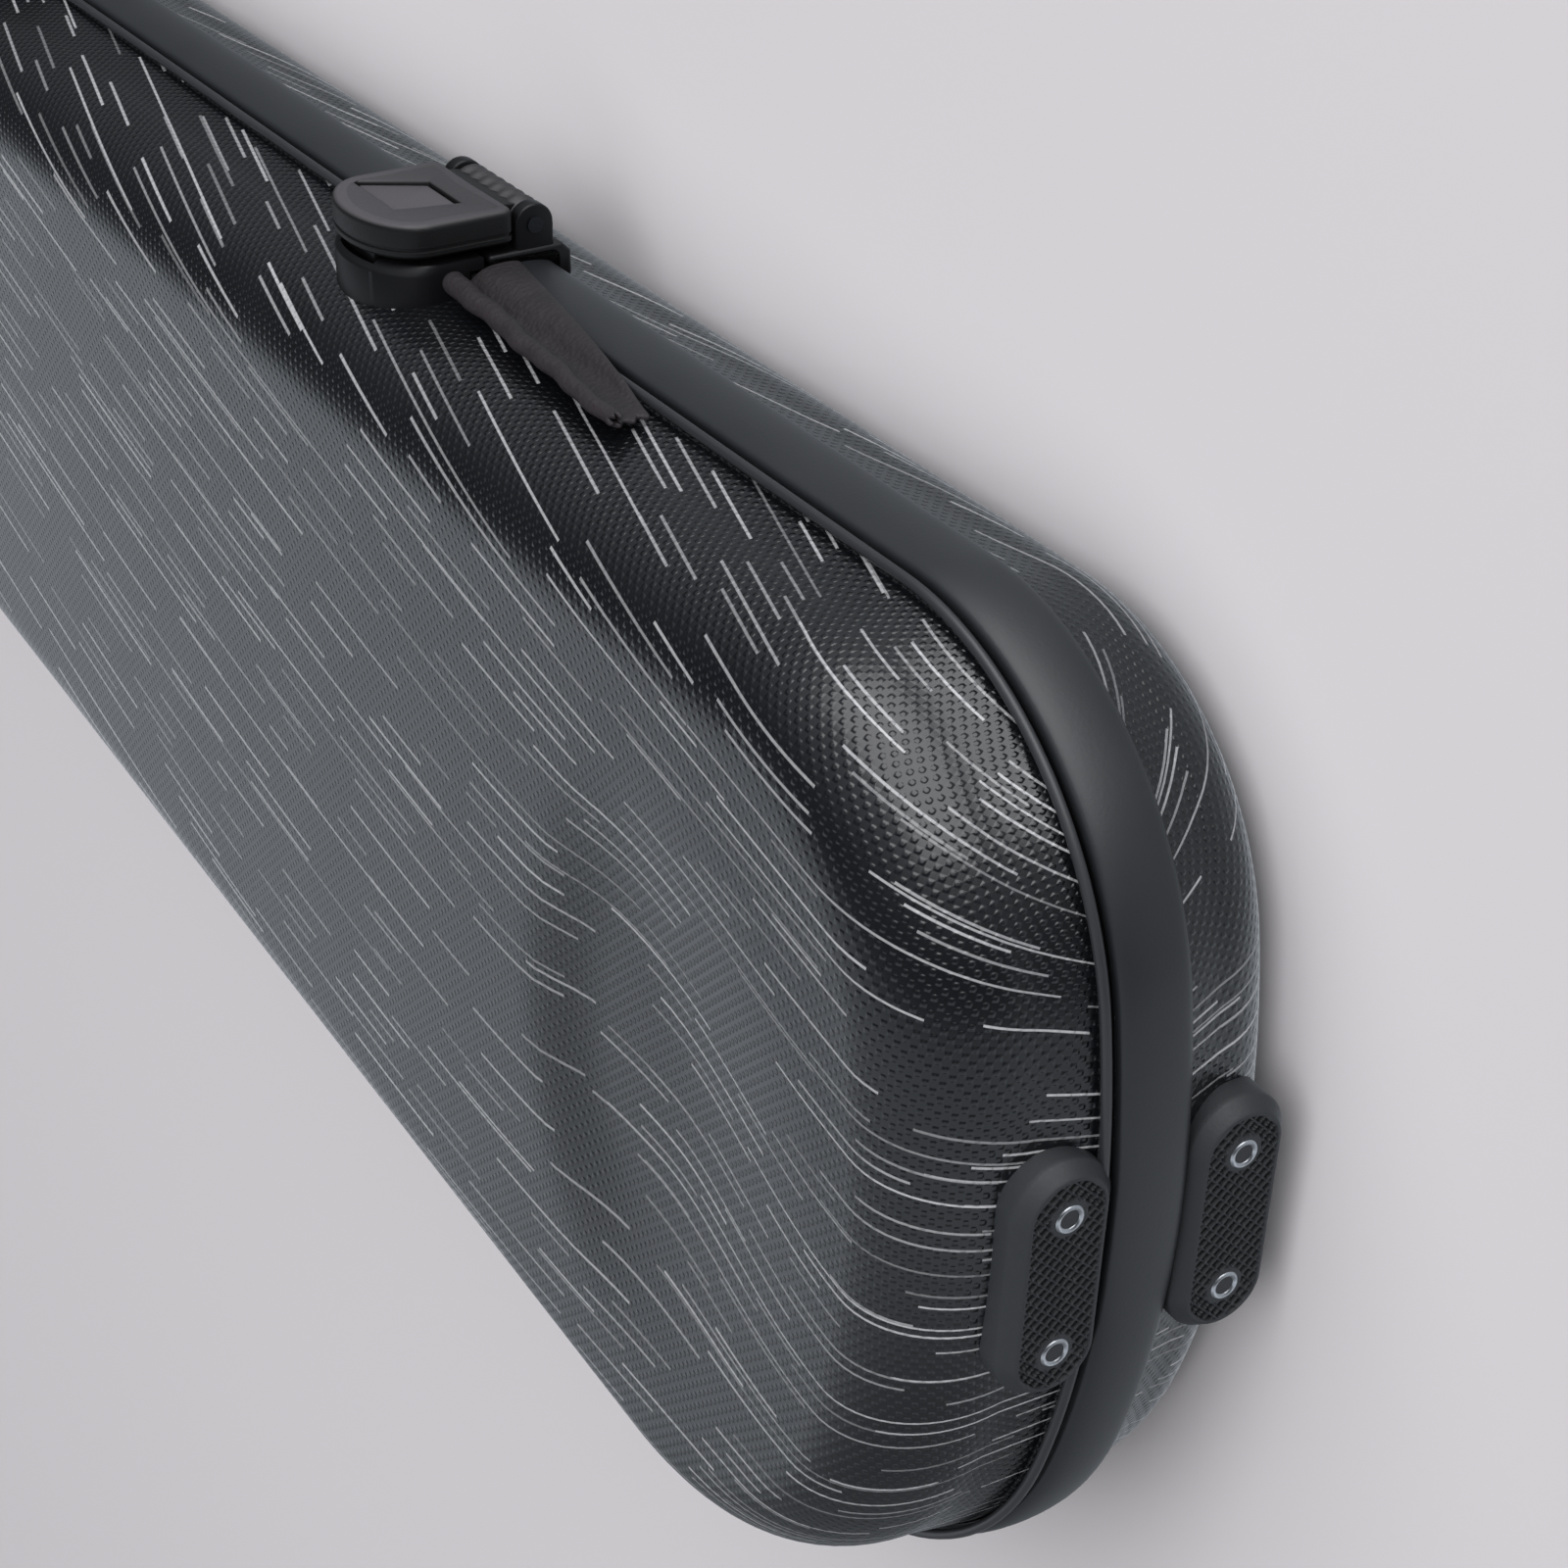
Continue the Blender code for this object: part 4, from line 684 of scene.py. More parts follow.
def leather_finish():
    """Soft split leather: matt mauve-grey with a pebbled grain and rubbed patches."""
    look, tree, shader = new_finish("split_leather", roughness=0.6, specular_ior_level=0.3)
    if tree is None:
        return look
    place = node(tree, "TexCoord").outputs["Object"]
    pebble = node(tree, "TexVoronoi", {"Vector": place, "Scale": 1300.0})
    broad = node(tree, "TexNoise", {"Vector": place, "Scale": 170.0, "Detail": 4.0})
    shade = node(tree, "Mix", {"Factor": broad, "A": (*linear("1c1a1b"), 1.0),
                               "B": (*colours().leather, 1.0)}, data_type="RGBA")
    height = node(tree, "Math", {0: broad, 1: 1.5, 2: pebble}, operation="MULTIPLY_ADD")
    bump = node(tree, "Bump", {"Height": height, "Distance": 0.12 * MM})
    wire(tree, shader, {"Base Color": shade, "Normal": bump})
    return look


def velvet_finish():
    """Flocked velvet over foam: a deep matt pile that pales at grazing angles, brushed in patches."""
    look, tree, shader = new_finish("velvet_pile", roughness=0.95, sheen_weight=0.8, sheen_roughness=0.4)
    if tree is None:
        return look
    place = node(tree, "TexCoord").outputs["Object"]
    patch = node(tree, "TexNoise", {"Vector": place, "Scale": 38.0, "Detail": 4.0, "Distortion": 0.6})
    pile = node(tree, "TexNoise", {"Vector": place, "Scale": 2600.0, "Detail": 2.0})
    shade = node(tree, "Mix", {"Factor": patch, "A": (*linear("26272d"), 1.0),
                               "B": (*colours().velvet, 1.0)}, data_type="RGBA")
    bump = node(tree, "Bump", {"Height": pile, "Distance": 0.15 * MM})
    wire(tree, shader, {"Base Color": shade, "Normal": bump})
    return look


def dress(name, look):
    """Give a CAD node that keeps its shape its finish."""
    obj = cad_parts.get(name)
    if obj is None:
        raise RuntimeError("the frame has no node named " + name)
    for place in obj.material_slots:
        place.material = look


# Pieces

def flow_of(flat, weight, drawn):
    """Where a flat film point lies along and across the printed lines in millimetres, and their painted
    shade.

    The lines fall at 9.5 degrees from the wide end. Beyond start they fan, each line's slope easing with
    its distance from the latch side, which is the stream function written out here. Where the film was
    drawn into the dish, the lines moved sideways by up to the length drawn, in a bell curve.
    """
    x, y = flat[:, 0] / MM, flat[:, 1] / MM
    away = np.hypot((flat[:, 0] - DRAWN_X) / DISH_GENTLE, (flat[:, 1] - DISH_Y) / DISH_ACROSS)
    y = y + drawn / MM * np.exp(-2.0 * away ** 2)
    slope, fan, start, length, past_end, latch_side = 0.167, 0.00262, -130.0, 260.0, -480.0, -70.0
    grid = np.linspace(start, past_end, 800)
    grow = np.exp(fan * (start - grid) ** 2 / (2.0 * length))
    run = np.concatenate([[0.0], np.cumsum((grow[1:] + grow[:-1]) / 2.0 * np.diff(grid))])
    reach = np.where(x > start, x, start + np.interp(-x, -grid, run))
    here = np.exp(fan * np.clip(start - x, 0.0, None) ** 2 / (2.0 * length))
    # The third value is painted shade that dims the lines on the face.
    return np.column_stack([x, (y - latch_side) * here + slope * reach, weight])


def shell_skin(name, edge, depth, sign, hem, drop, body):
    """A shell: rings of its section round the rim, its face filled with rungs, given a wall inward.

    sign is 1 for a shell that rises from its edge and -1 for one that falls; hem goes on past the edge, and
    drop says whether the face has the dish. The sheet is the film laid flat, in millimetres; the two
    shells' films are cut from sheets that are a little apart. On the face the lines are dimmed by painted
    shade.
    """
    line, normal = rim()
    height, inset, run = section(depth, 22)
    if hem:
        height, inset, run = np.append(-hem, height), np.append(0.0, inset), np.append(-hem, run)
    rings = [at_height(line - normal * inward, edge + sign * z) for z, inward in zip(height, inset)]
    points, inner, faces = filled(np.array(rings), 40)
    flat = np.vstack([*(line + normal * (run[-1] - length - inset[-1]) for length in run), inner[:, :2]])
    if drop:
        inner[:, 2] -= dish(inner[:, 0], inner[:, 1])
    if sign < 0.0:
        faces = [f[::-1] for f in faces]
        flat = flat + [0.0, SHEETS_APART]
    # Painted shade: the lines' strength falls to this share on the face, dimming them there.
    pale = 0.72
    weight = np.repeat(np.interp(run / run[-1], [0.55, 1.0], [1.0, pale]), len(line))
    weight = np.append(weight, np.full(len(inner), pale))
    values = {"sheet": at_height(flat / MM, 0.0), "flow": flow_of(flat, weight, DRAWN_LENGTH * drop)}
    obj = put(name + "_skin", (np.vstack([points, inner]), faces), film_finish(), body, (name,),
              50.0, values, closed=False)
    obj.data.materials.append(dark_fitting_finish())
    wall = obj.modifiers.new("wall", "SOLIDIFY")
    wall.thickness = SHELL_WALL
    wall.offset = -1.0
    wall.material_offset = 1
    wall.material_offset_rim = 1


def rim_band(profile):
    """A closed profile of outward offset and height, carried along the rim's normals all the way round."""
    line, normal = rim()
    return swept(np.array([at_height(line + normal * out, z) for out, z in profile]))


def make_rim():
    """The crowned strip, the piping bead above it and the lid's locating lip."""
    half = 5.0 * MM
    turn = np.linspace(0.0, math.pi, 15)
    rise = 0.8 * MM + 1.4 * MM * np.sin(turn) ** 0.8
    bulge = list(zip(GAP + rise, STRIP_LOW + half * (1.0 - np.cos(turn))))
    bulge = [(GAP, STRIP_LOW + 0.1 * MM), *bulge, (GAP, STRIP_HIGH - 0.1 * MM)]
    put("rubber_strip", rim_band(bulge), strip_finish(), "base", ("rim_strip",), 50.0)
    round_bead = 0.7 * MM
    bead, _ = arc((GAP + round_bead, LID_EDGE + 1.2 * MM), round_bead, 0.0, math.tau, 10)
    put("piping_bead", rim_band(bead[:-1]), bead_finish(), "lid", ("lid_piping",), 60.0)
    tall = 4.0 * MM
    outer = -(SHELL_WALL + DRAFT * tall / (LID_DEPTH * STRAIGHT_SHARE) + 0.6 * MM)
    inner = outer - 1.4 * MM
    low, high = LID_EDGE - 6.0 * MM, LID_EDGE + tall
    lip = rounded([(outer, low), (outer, high), (inner, high), (inner, low)], 0.5 * MM, 3)
    put("locating_lip", rim_band(lip), dark_fitting_finish(), "lid", ("lid_lip",))


def stadium(grow):
    """A foot's oblong with half-round ends, grown all round, from one tip to the other, front half first."""
    reach = (FOOT_LENGTH - FOOT_WIDTH) / 2.0
    radius = FOOT_WIDTH / 2.0 + grow
    low, _ = arc((-reach, 0.0), radius, math.pi, 1.5 * math.pi, 26)
    far, _ = arc((reach, 0.0), radius, 1.5 * math.pi, 2.0 * math.pi, 26)
    mid = np.linspace(0.0, 1.0, 110)[1:-1, None] * (far[0] - low[-1]) + low[-1]
    front = np.vstack([low, mid, far])
    return np.vstack([front, (front * [1.0, -1.0])[-2:0:-1]])


def wall_inset(up, depth):
    """Inset of a shell's wall at a height over its edge, from the same section."""
    share = np.clip(up / depth, 0.0, 1.0)
    turn = np.arcsin(np.clip((share - STRAIGHT_SHARE) / (1.0 - STRAIGHT_SHARE), 0.0, 1.0))
    return np.where(share <= STRAIGHT_SHARE, DRAFT * share / STRAIGHT_SHARE,
                    DRAFT + EDGE_ROUND * (1.0 - np.cos(turn)))


def foot(name, side, x, proud, body):
    """An oblong foot: flanks rising from the shell, a bevel and a flat top with a raised diagonal net.

    The net is the greater of two cosines across the diagonals, cut off below and raised to a smooth line.
    """
    half = FOOT_WIDTH / 2.0
    height = LID_EDGE + half if body == "lid" else STRIP_LOW - GAP - half
    place = side_frame(side, x, height) @ FACING
    ring = stadium(0.0)
    up = half - ring[:, 1] if body == "lid" else ring[:, 1] + half + GAP
    bow = WIDE_END[1] - np.sqrt(WIDE_END[1] ** 2 - ring[:, 0] ** 2) if side == "end" else 0.0
    seat = -wall_inset(up, LID_DEPTH if body == "lid" else BASE_DEPTH) - bow - 0.25 * MM
    bevel = np.array([(0.0, -2.5), (-0.03, -1.95), (-0.14, -1.66), (-1.28, -0.35), (-1.42, -0.13),
                      (-1.6, -0.02), (-1.85, 0.0)]) * MM
    loops = [at_height(ring, np.minimum(seat, proud - 2.7 * MM))]
    loops += [at_height(stadium(grow), proud + out) for grow, out in bevel]
    points, inner, faces = filled(np.array(loops), 60)
    pace = math.tau / sizes().net_pitch / math.sqrt(2.0)
    across, over = inner[:, 0], inner[:, 1]
    net = np.maximum(np.cos((across + over) * pace), np.cos((across - over) * pace))
    net = np.clip((net - 0.5) / 0.4, 0.0, 1.0)
    edge = np.hypot(np.maximum(np.abs(across) - (FOOT_LENGTH - FOOT_WIDTH) / 2.0, 0.0), over)
    around = np.hypot(np.abs(across) - RIVET_PLACE, over)
    inside = np.clip((half + bevel[-1, 0] - edge) / (0.35 * MM), 0.0, 1.0)
    inside *= np.clip((around - RIVET_SEAT) / (0.3 * MM), 0.0, 1.0)
    sunk = (1.0 - net) * inside
    inner[:, 2] -= NET_DEPTH * sunk
    faces.append(list(range(len(ring)))[::-1])
    points = np.vstack([points, inner])
    # The hollow mask carries painted shade: the finish turns the net's hollows near black.
    hollow = np.zeros((len(points), 3))
    hollow[-len(inner):, 0] = sunk
    put(name + "_pad", moved((points, faces), place), foot_finish(), body, (name,), 30.0,
        {"hollow": hollow})
    tube = np.array([(0.0, -2.0), (1.0, -2.0), (1.1, -1.9), (1.16, -0.2), (1.26, 0.02), (1.45, 0.18),
                     (1.7, 0.22), (1.9, 0.1), (2.0, -0.15), (2.3, -0.34), (2.42, -0.45), (2.42, -0.8),
                     (1.4, -0.9), (1.4, -2.5), (0.0, -2.6)]) * MM
    for number, along in enumerate((-RIVET_PLACE, RIVET_PLACE), 1):
        rivet = "%s_rivet_%d" % (name, number)
        spot = place @ axes((1.0, 0.0, 0.0), (0.0, 1.0, 0.0), PLAIN_UP, (along, 0.0, proud))
        put(rivet + "_tube", moved(turned(tube), spot), steel_finish(), body, (rivet,), 40.0)


def radial(outline, centre, angles):
    """Where rays from a point inside an outline meet it: the nearest crossing over all its edges."""
    start = np.asarray(outline, float) - centre
    step = np.roll(start, -1, 0) - start
    ray = np.stack([np.cos(angles), np.sin(angles)], 1)
    cross = ray[:, None, 0] * step[None, :, 1] - ray[:, None, 1] * step[None, :, 0]
    cross = np.where(np.abs(cross) < 1e-12, 1e-12, cross)
    reach = (start[None, :, 0] * step[None, :, 1] - start[None, :, 1] * step[None, :, 0]) / cross
    share = (start[None, :, 0] * ray[:, None, 1] - start[None, :, 1] * ray[:, None, 0]) / cross
    good = (share >= -1e-6) & (share <= 1.0 + 1e-6) & (reach > 0.0)
    reach = np.where(good, reach, np.inf).min(1)
    return np.asarray(centre) + ray * reach[:, None]


def nosed(low):
    """The hasp's outline with its half-elliptic nose, seen from outside, in local X and down."""
    turn = np.linspace(0.0, math.pi, 41)
    nose = np.column_stack([LATCH_HALF * np.cos(turn), NOSE_LENGTH - NOSE_UP - NOSE_LENGTH * np.sin(turn)])
    return np.vstack([[(-LATCH_HALF, -low), (LATCH_HALF, -low)], nose])


def button_outline(grow):
    """The slanted four-sided button, wider towards the lid, seen from outside, in local X and down."""
    upper, lower, middle = -3.3 * MM, 0.5 * MM, -5.0 * MM
    broad, narrow, tall = 6.25 * MM + grow, 4.75 * MM + grow, 4.3 * MM + grow
    return np.array([(upper - broad, middle - tall), (upper + broad, middle - tall),
                     (lower + narrow, middle + tall), (lower - narrow, middle + tall)])


def hasp_form():
    """The hasp's plate: loops from the window's lower edge over the top face to its outer edge and back.

    Each loop is the window or the outer outline met by the same rays, or a blend of the two: its share of
    the way from one to the other, a shift outward and a height, both in millimetres.
    """
    outer = rounded(nosed(PIVOT_UP + BARREL_RADIUS + GAP), 1.2 * MM, 5)
    centre = np.array([-1.4 * MM, -5.0 * MM])
    window = button_outline(GAP)
    corners = [np.arctan2(*(c - centre)[::-1]) for c in (*window, outer[0], outer[6])]
    angles = np.unique(np.concatenate([np.linspace(-math.pi, math.pi, 181)[:-1], corners]))
    inside = radial(window, centre, angles)
    outside = radial(outer, centre, angles)
    width = np.linalg.norm(outside - inside, axis=1)[:, None]
    turn = np.linspace(0.0, math.pi / 2.0, 7)
    edge, top, low = 0.9, PLATE_TOP / MM, PLATE_LOW / MM
    levels = [(0.0, 0.0, low + 0.3), (0.0, 0.0, top - 0.45), (0.0, 0.1, top - 0.22), (0.0, 0.35, top - 0.12),
              (0.6, 0.0, top - 0.1), (1.0, -2.2, top - 0.1), (1.0, -1.9, top)]
    levels += [(1.0, -edge * (1.0 - math.sin(a)), top - edge * (1.0 - math.cos(a))) for a in turn]
    levels += [(1.0, 0.0, top - 3.2), (1.0, -0.3, top - 3.35), (1.0, -0.3, top - 3.7), (1.0, 0.0, top - 3.85),
               (1.0, 0.0, low + 0.4), (1.0, -0.4, low), (0.0, 0.4, low)]
    return swept(np.array([at_height(inside + (outside - inside) * (share + shift * MM / width), z * MM)
                           for share, shift, z in levels]))


def knurled_barrel(half):
    """The hinge barrel, its radius eased by a cosine along its length into finger ribs."""
    along = np.linspace(-half, half, 61)
    turn = np.linspace(0.0, math.tau, 48, endpoint=False)
    fade = np.clip((half - np.abs(along)) / (0.4 * MM), 0.0, 1.0) ** 0.5
    rib = 2.9 * MM
    radius = BARREL_RADIUS - 0.3 * MM * (1.0 - fade) - 0.2 * MM * (1.0 + np.cos(along / rib * math.tau))
    loops = np.stack([PIVOT_OUT + radius[:, None] * np.cos(turn), PIVOT_UP + radius[:, None] * np.sin(turn),
                      np.repeat(along[:, None], len(turn), 1)], -1)
    return stacked(loops)


def catch_form(low, high, profile):
    """Part of the catch: a profile in out and up carried along the rim, its top following the round nose.

    profile takes the nose's height at a station; the nose is an ellipse, as on the hasp's plate.
    """
    along = np.linspace(low, high, 31)
    top = NOSE_UP - NOSE_LENGTH + NOSE_LENGTH * np.sqrt(1.0 - np.clip(along / LATCH_HALF, -0.999, 0.999) ** 2)
    return stacked(np.array([at_height(np.array(profile(height / MM)) * MM, place)
                             for place, height in zip(along, top)]))


def latch(number, x):
    """One latch: hasp, button, bracket and catch, built in the frame on the front side."""
    tag = "latch_%d_" % number
    place = side_frame("front", x)
    along = place @ ALONG
    facing = place @ FACING
    half = LATCH_HALF

    plate = hasp_form()
    inner = half - EAR_WIDTH - 0.5 * MM - GAP
    knuckle = knurled_barrel(inner)
    web = rounded(np.array([(6.2, -7.7), (9.4, -7.7), (9.9, -4.1), (5.7, -4.1)]) * MM, 0.3 * MM)
    web = soft_prism(web, -inner + GAP, inner - GAP, 0.2 * MM, 2)
    leg = rounded(np.array([(3.0, 11.6), (6.0, 11.6), (6.0, 13.4), (3.0, 13.4)]) * MM, 0.5 * MM)
    leg = soft_prism(leg, -4.5 * MM, 4.5 * MM, 0.3 * MM, 2)
    form = joined(moved(plate, facing), *(moved(part, along) for part in (knuckle, web, leg)))
    spots, count = plate[0], len(plate[0])
    # Painted light on the plate: its top face takes the lit grey, fading to half towards the pivot; the sides
    # stay painted shade.
    painted_light_fade = np.interp(spots[:, 1], [-NOSE_UP, -PIVOT_UP], [1.0, 0.5])
    top = np.zeros((len(form[0]), 3))
    top[:count, 0] = painted_light_fade * np.clip((spots[:, 2] - PLATE_TOP) / (0.4 * MM) + 1.0, 0.0, 1.0)
    # The barrel takes a part of the painted light.
    top[count:count + len(knuckle[0]), 0] = 0.35
    put(tag + "hasp_plate", form, hasp_finish(), tag + "hasp", (tag + "hasp",), 35.0, {"top": top},
        closed=False)

    crest = PLATE_TOP - 0.6 * MM
    low = crest - 3.4 * MM
    button = soft_prism(rounded(button_outline(0.0), 0.5 * MM, 4), low, crest, 0.3 * MM, 4)
    flange = soft_prism(rounded(button_outline(0.8 * MM), 0.5 * MM, 4), low, 7.3 * MM, 0.2 * MM, 2)
    form = moved(joined(button, flange), facing)
    # Painted light on the button: only its top face takes the lit grey; its sides and flange stay painted
    # shade.
    top = np.zeros((len(form[0]), 3))
    top[:len(button[0]), 0] = button[0][:, 2] > crest - 0.35 * MM
    put(tag + "push_button", form, hasp_finish(), tag + "button", (tag + "button",),
        values={"top": top}, closed=False)

    pad = [(-1.0, -13.2), (2.7, -13.2), (4.1, -11.8), (4.1, -0.4), (2.8, -0.4), (2.8, -10.7), (-1.0, -10.7)]
    parts = [soft_prism(rounded(np.array(pad) * MM, 0.6 * MM), -half, half, 0.6 * MM)]
    eye, _ = arc((PIVOT_OUT, PIVOT_UP), BARREL_RADIUS, -math.pi / 2.0, math.pi / 2.0, 18)
    foot_out = 3.0 * MM
    ear = np.vstack([[(foot_out, PIVOT_UP - BARREL_RADIUS)], eye, [(foot_out, PIVOT_UP + BARREL_RADIUS)]])
    for low in (-half + GAP, half - EAR_WIDTH - GAP):
        parts.append(soft_prism(ear, low, low + EAR_WIDTH, 0.35 * MM, 3))
    put(tag + "bracket_block", moved(joined(*parts), along), dark_fitting_finish(), "base",
        (tag + "bracket",), closed=False)

    def wing(top):
        return [(-1.5, 2.6), (2.5, 2.6), (2.5, 0.6), (2.7, 0.4), (4.1, 0.4), (4.3, 0.6), (4.3, top - 1.6),
                (4.1, top - 1.2), (3.1, top - 0.2), (2.8, top), (-4.0, top)]

    def core(top):
        return [(-1.5, 2.6), (2.0, 2.6), (2.2, 2.8), (2.2, top - 1.2), (2.4, top - 0.9), (3.7, top - 0.85),
                (3.3, top - 0.4), (3.0, top - 0.1), (2.8, top), (-4.0, top)]

    groove = 5.5 * MM
    parts = [catch_form(-half, -groove, wing), catch_form(groove, half, wing),
             catch_form(-groove - 0.3 * MM, groove + 0.3 * MM, core)]
    put(tag + "catch_block", moved(joined(*parts), along), dark_fitting_finish(), "lid", (tag + "catch",),
        closed=False)
    dress(tag + "pin", blackened_finish())


def make_handle():
    """A tube carried along a U with filleted corners; its radius swells from the legs into the grip.

    The radius grows with the cube of the height, and a cosine along the grip waves its inner side for the
    fingers.
    """
    place = side_frame("front", 0.0)
    bend = 14.0 * MM
    high = HANDLE_LOW + HANDLE_DEEP
    corner, _ = arc((HANDLE_REACH - bend, high - bend), bend, 0.0, math.pi / 2.0, 16)
    leg = np.column_stack([np.full(7, HANDLE_REACH), np.linspace(HANDLE_LOW, corner[0, 1], 8)[:-1]])
    right = np.vstack([leg, corner])
    run = np.linspace(right[-1, 0], -right[-1, 0], 60)[1:-1]
    path = np.vstack([right, np.column_stack([run, np.full(len(run), high)]), (right * [-1.0, 1.0])[::-1]])
    step = np.gradient(path, axis=0)
    step /= np.linalg.norm(step, axis=1)[:, None]
    rise = (path[:, 1] - HANDLE_LOW) / HANDLE_DEEP
    radius = (3.9 + 3.1 * rise[:, None] ** 3) * MM
    wave = 0.35 * MM * (np.abs(path[:, 0]) < 36.0 * MM) * np.cos(path[:, 0] / (18.0 * MM) * math.tau)
    turn = np.linspace(0.0, math.tau, 28, endpoint=False)
    inward = np.stack([-step[:, 1], step[:, 0]], 1)
    squeeze = radius + wave[:, None] * np.maximum(np.sin(turn), 0.0)
    flat = path[:, None] + inward[:, None] * (squeeze * np.sin(turn))[..., None]
    out = HANDLE_OUT + radius * np.cos(turn)
    parts = [moved(stacked(np.stack([flat[..., 0], out, flat[..., 1]], -1)), place)]
    eye, _ = arc((HANDLE_OUT, HANDLE_LOW), 4.0 * MM, 0.0, math.tau, 40)
    for shift in (-HANDLE_REACH, HANDLE_REACH):
        form = soft_prism(eye[:-1], shift - 4.3 * MM, shift + 4.3 * MM, 0.5 * MM)
        parts.append(moved(form, place @ ALONG))
    put("handle_grip", joined(*parts), grip_finish(), "handle", ("handle",), closed=False)
    for number in (1, 2):
        dress("handle_%d_bracket" % number, fitting_finish())
        dress("handle_%d_pin" % number, steel_finish())


def make_tab():
    """A wedge of leather: over the strip and the piping at the latch, on the lid at its ragged end.

    Each station along the rim is a path in out and up, in millimetres, that climbs the strip, crosses the
    piping and lies on the lid. On the lid's side the leather rolls back into a tube: a spiral whose radius
    shrinks turn by turn and is smaller towards the ragged end.
    """
    place = side_frame("front", -LATCH_X)
    thick = 0.7
    shares = np.linspace(0.0, 1.0, 70)
    rows = []
    for share in shares:
        ripple = 0.2 * math.sin(share * 17.0) + 0.15 * math.sin(share * 43.0 + 1.0)
        low, high = -4.4 + 8.2 * share, 5.6 + 3.2 * share + ripple
        heights = np.linspace(low, high, 9)
        under = np.interp(heights, [0.0, 2.3, 3.65, 6.0, 12.0], [3.0, 2.25, 0.75, 0.45, 0.1]) + thick / 2.0
        under[0] -= 0.25
        path = list(zip(under, heights))
        curl = 1.5 * (1.0 - 0.45 * share)
        middle = under[-1] + curl
        for step, turn in enumerate(np.linspace(math.pi, -math.pi * 0.75, 14)[1:]):
            reach = curl * (1.0 - 0.035 * step)
            path.append((middle + reach * math.cos(turn), high + 1.15 * reach * math.sin(turn)))
        rows.append(path)
    grid = np.array(rows) * MM
    ragged = 0.9 * MM * np.sin(np.arange(grid.shape[1]) * 1.9) * shares[:, None] ** 6
    along = 13.4 * MM + 51.5 * MM * shares[:, None] + ragged
    points = np.stack([along, grid[..., 0], grid[..., 1]], -1)
    form = points.reshape(-1, 3), band_faces(numbered(points), closed=False)
    obj = put("leather_tab", moved(form, place), leather_finish(), "lid", ("pull_tab",), 60.0,
              closed=False)
    wall = obj.modifiers.new("leather", "SOLIDIFY")
    wall.thickness = thick * MM
    wall.offset = 0.0
    smooth = obj.modifiers.new("soft", "SUBSURF")
    smooth.levels = 1
    smooth.render_levels = 1


def box_distance(x, y, low, high, corner):
    """Signed distance to a rectangle with rounded corners, negative inside."""
    middle = (np.array(low) + high) / 2.0
    half = (np.array(high) - low) / 2.0 - corner
    away = np.stack([np.abs(x - middle[0]) - half[0], np.abs(y - middle[1]) - half[1]])
    outside = np.hypot(*np.maximum(away, 0.0))
    return outside + np.minimum(away.max(0), 0.0) - corner


def make_linings():
    """The base's foam tray, hollowed by two channels and a pocket, and the lid's thin padded lining.

    The hollows are rectangles with rounded corners, in millimetres, whose edges fall over a soft width.
    """
    line, normal = rim(2)
    height, inset, _ = section(BASE_DEPTH, 12)
    shrink = SHELL_WALL + 0.5 * MM
    keep = height > 1.5 * MM
    rings = [at_height(line - normal * (inward + shrink), max(STRIP_LOW - z, shrink))
             for z, inward in zip(height[keep][::-1], inset[keep][::-1])]
    top = line - normal * (shrink + 1.4 * MM)
    rings += [at_height(top - normal * inward * MM, LINING_TOP - drop * MM)
              for inward, drop in ((0.0, 1.2), (0.4, 0.35), (1.2, 0.0))]
    rings = np.array(rings)
    points, inner, faces = filled(rings, 100, 80.0 * MM)
    start, end, top, soft = -362.0, 375.0, SPINE_Y / MM - 14.0, 2.6
    hollow = np.zeros(len(inner))
    for low, high, corner in (((start, top - 28.0), (end, top), 13.9),
                              ((start, top - 62.0), (end, top - 34.0), 13.9),
                              ((-315.0, top - 98.0), (-65.0, top - 68.0), 6.0)):
        away = box_distance(inner[:, 0] / MM, inner[:, 1] / MM, low, high, corner)
        hollow = np.maximum(hollow, eased(-away / soft))
    inner[:, 2] -= (LINING_TOP - CHANNEL_FLOOR) * hollow
    points = np.vstack([points, inner])
    bottom, cap = capped(rings[0], 4)
    count = len(line)
    fresh = len(points) - count
    faces += [[i if i < count else i + fresh for i in f][::-1] for f in cap]
    tray = put("velvet_tray", (np.vstack([points, bottom]), faces), velvet_finish(), "base",
               ("base_lining",), 60.0)

    line, normal = rim()
    height, inset, _ = section(LID_DEPTH, 20)
    shrink = SHELL_WALL + GAP
    keep = inset >= DRAFT * 0.999
    rings = [at_height(line - normal * (inward + shrink), LID_EDGE + z - shrink)
             for z, inward in zip(height[keep], inset[keep])]
    points, inner, faces = filled(np.array(rings), 40)
    inner[:, 2] -= dish(inner[:, 0], inner[:, 1])
    lid = put("velvet_lid_pad", (np.vstack([points, inner]), faces), velvet_finish(), "lid",
              ("lid_lining",), 45.0, closed=False)
    wall = lid.modifiers.new("foam", "SOLIDIFY")
    wall.thickness = 3.0 * MM
    wall.offset = -1.0


# Operators

class BOWCASE_OT_stage(bpy.types.Operator):
    """Set the floor, the soft studio lights and the camera"""

    bl_idname = "bowcase.stage"
    bl_label = "Stage"

    def execute(self, context):
        make_stage()
        return {"FINISHED"}


class BOWCASE_OT_shells(bpy.types.Operator):
    """Build the embossed skins of both shells"""

    bl_idname = "bowcase.shells"
    bl_label = "Shells"

    def execute(self, context):
        shell_skin("front_shell", LID_EDGE, LID_DEPTH, 1.0, 0.0, True, "lid")
        shell_skin("back_shell", STRIP_LOW, BASE_DEPTH, -1.0, BASE_HEM, False, "base")
        return {"FINISHED"}


class BOWCASE_OT_rim(bpy.types.Operator):
    """Build the rim strip, the piping and the lid's lip"""

    bl_idname = "bowcase.rim"
    bl_label = "Rim"

    def execute(self, context):
        make_rim()
        return {"FINISHED"}


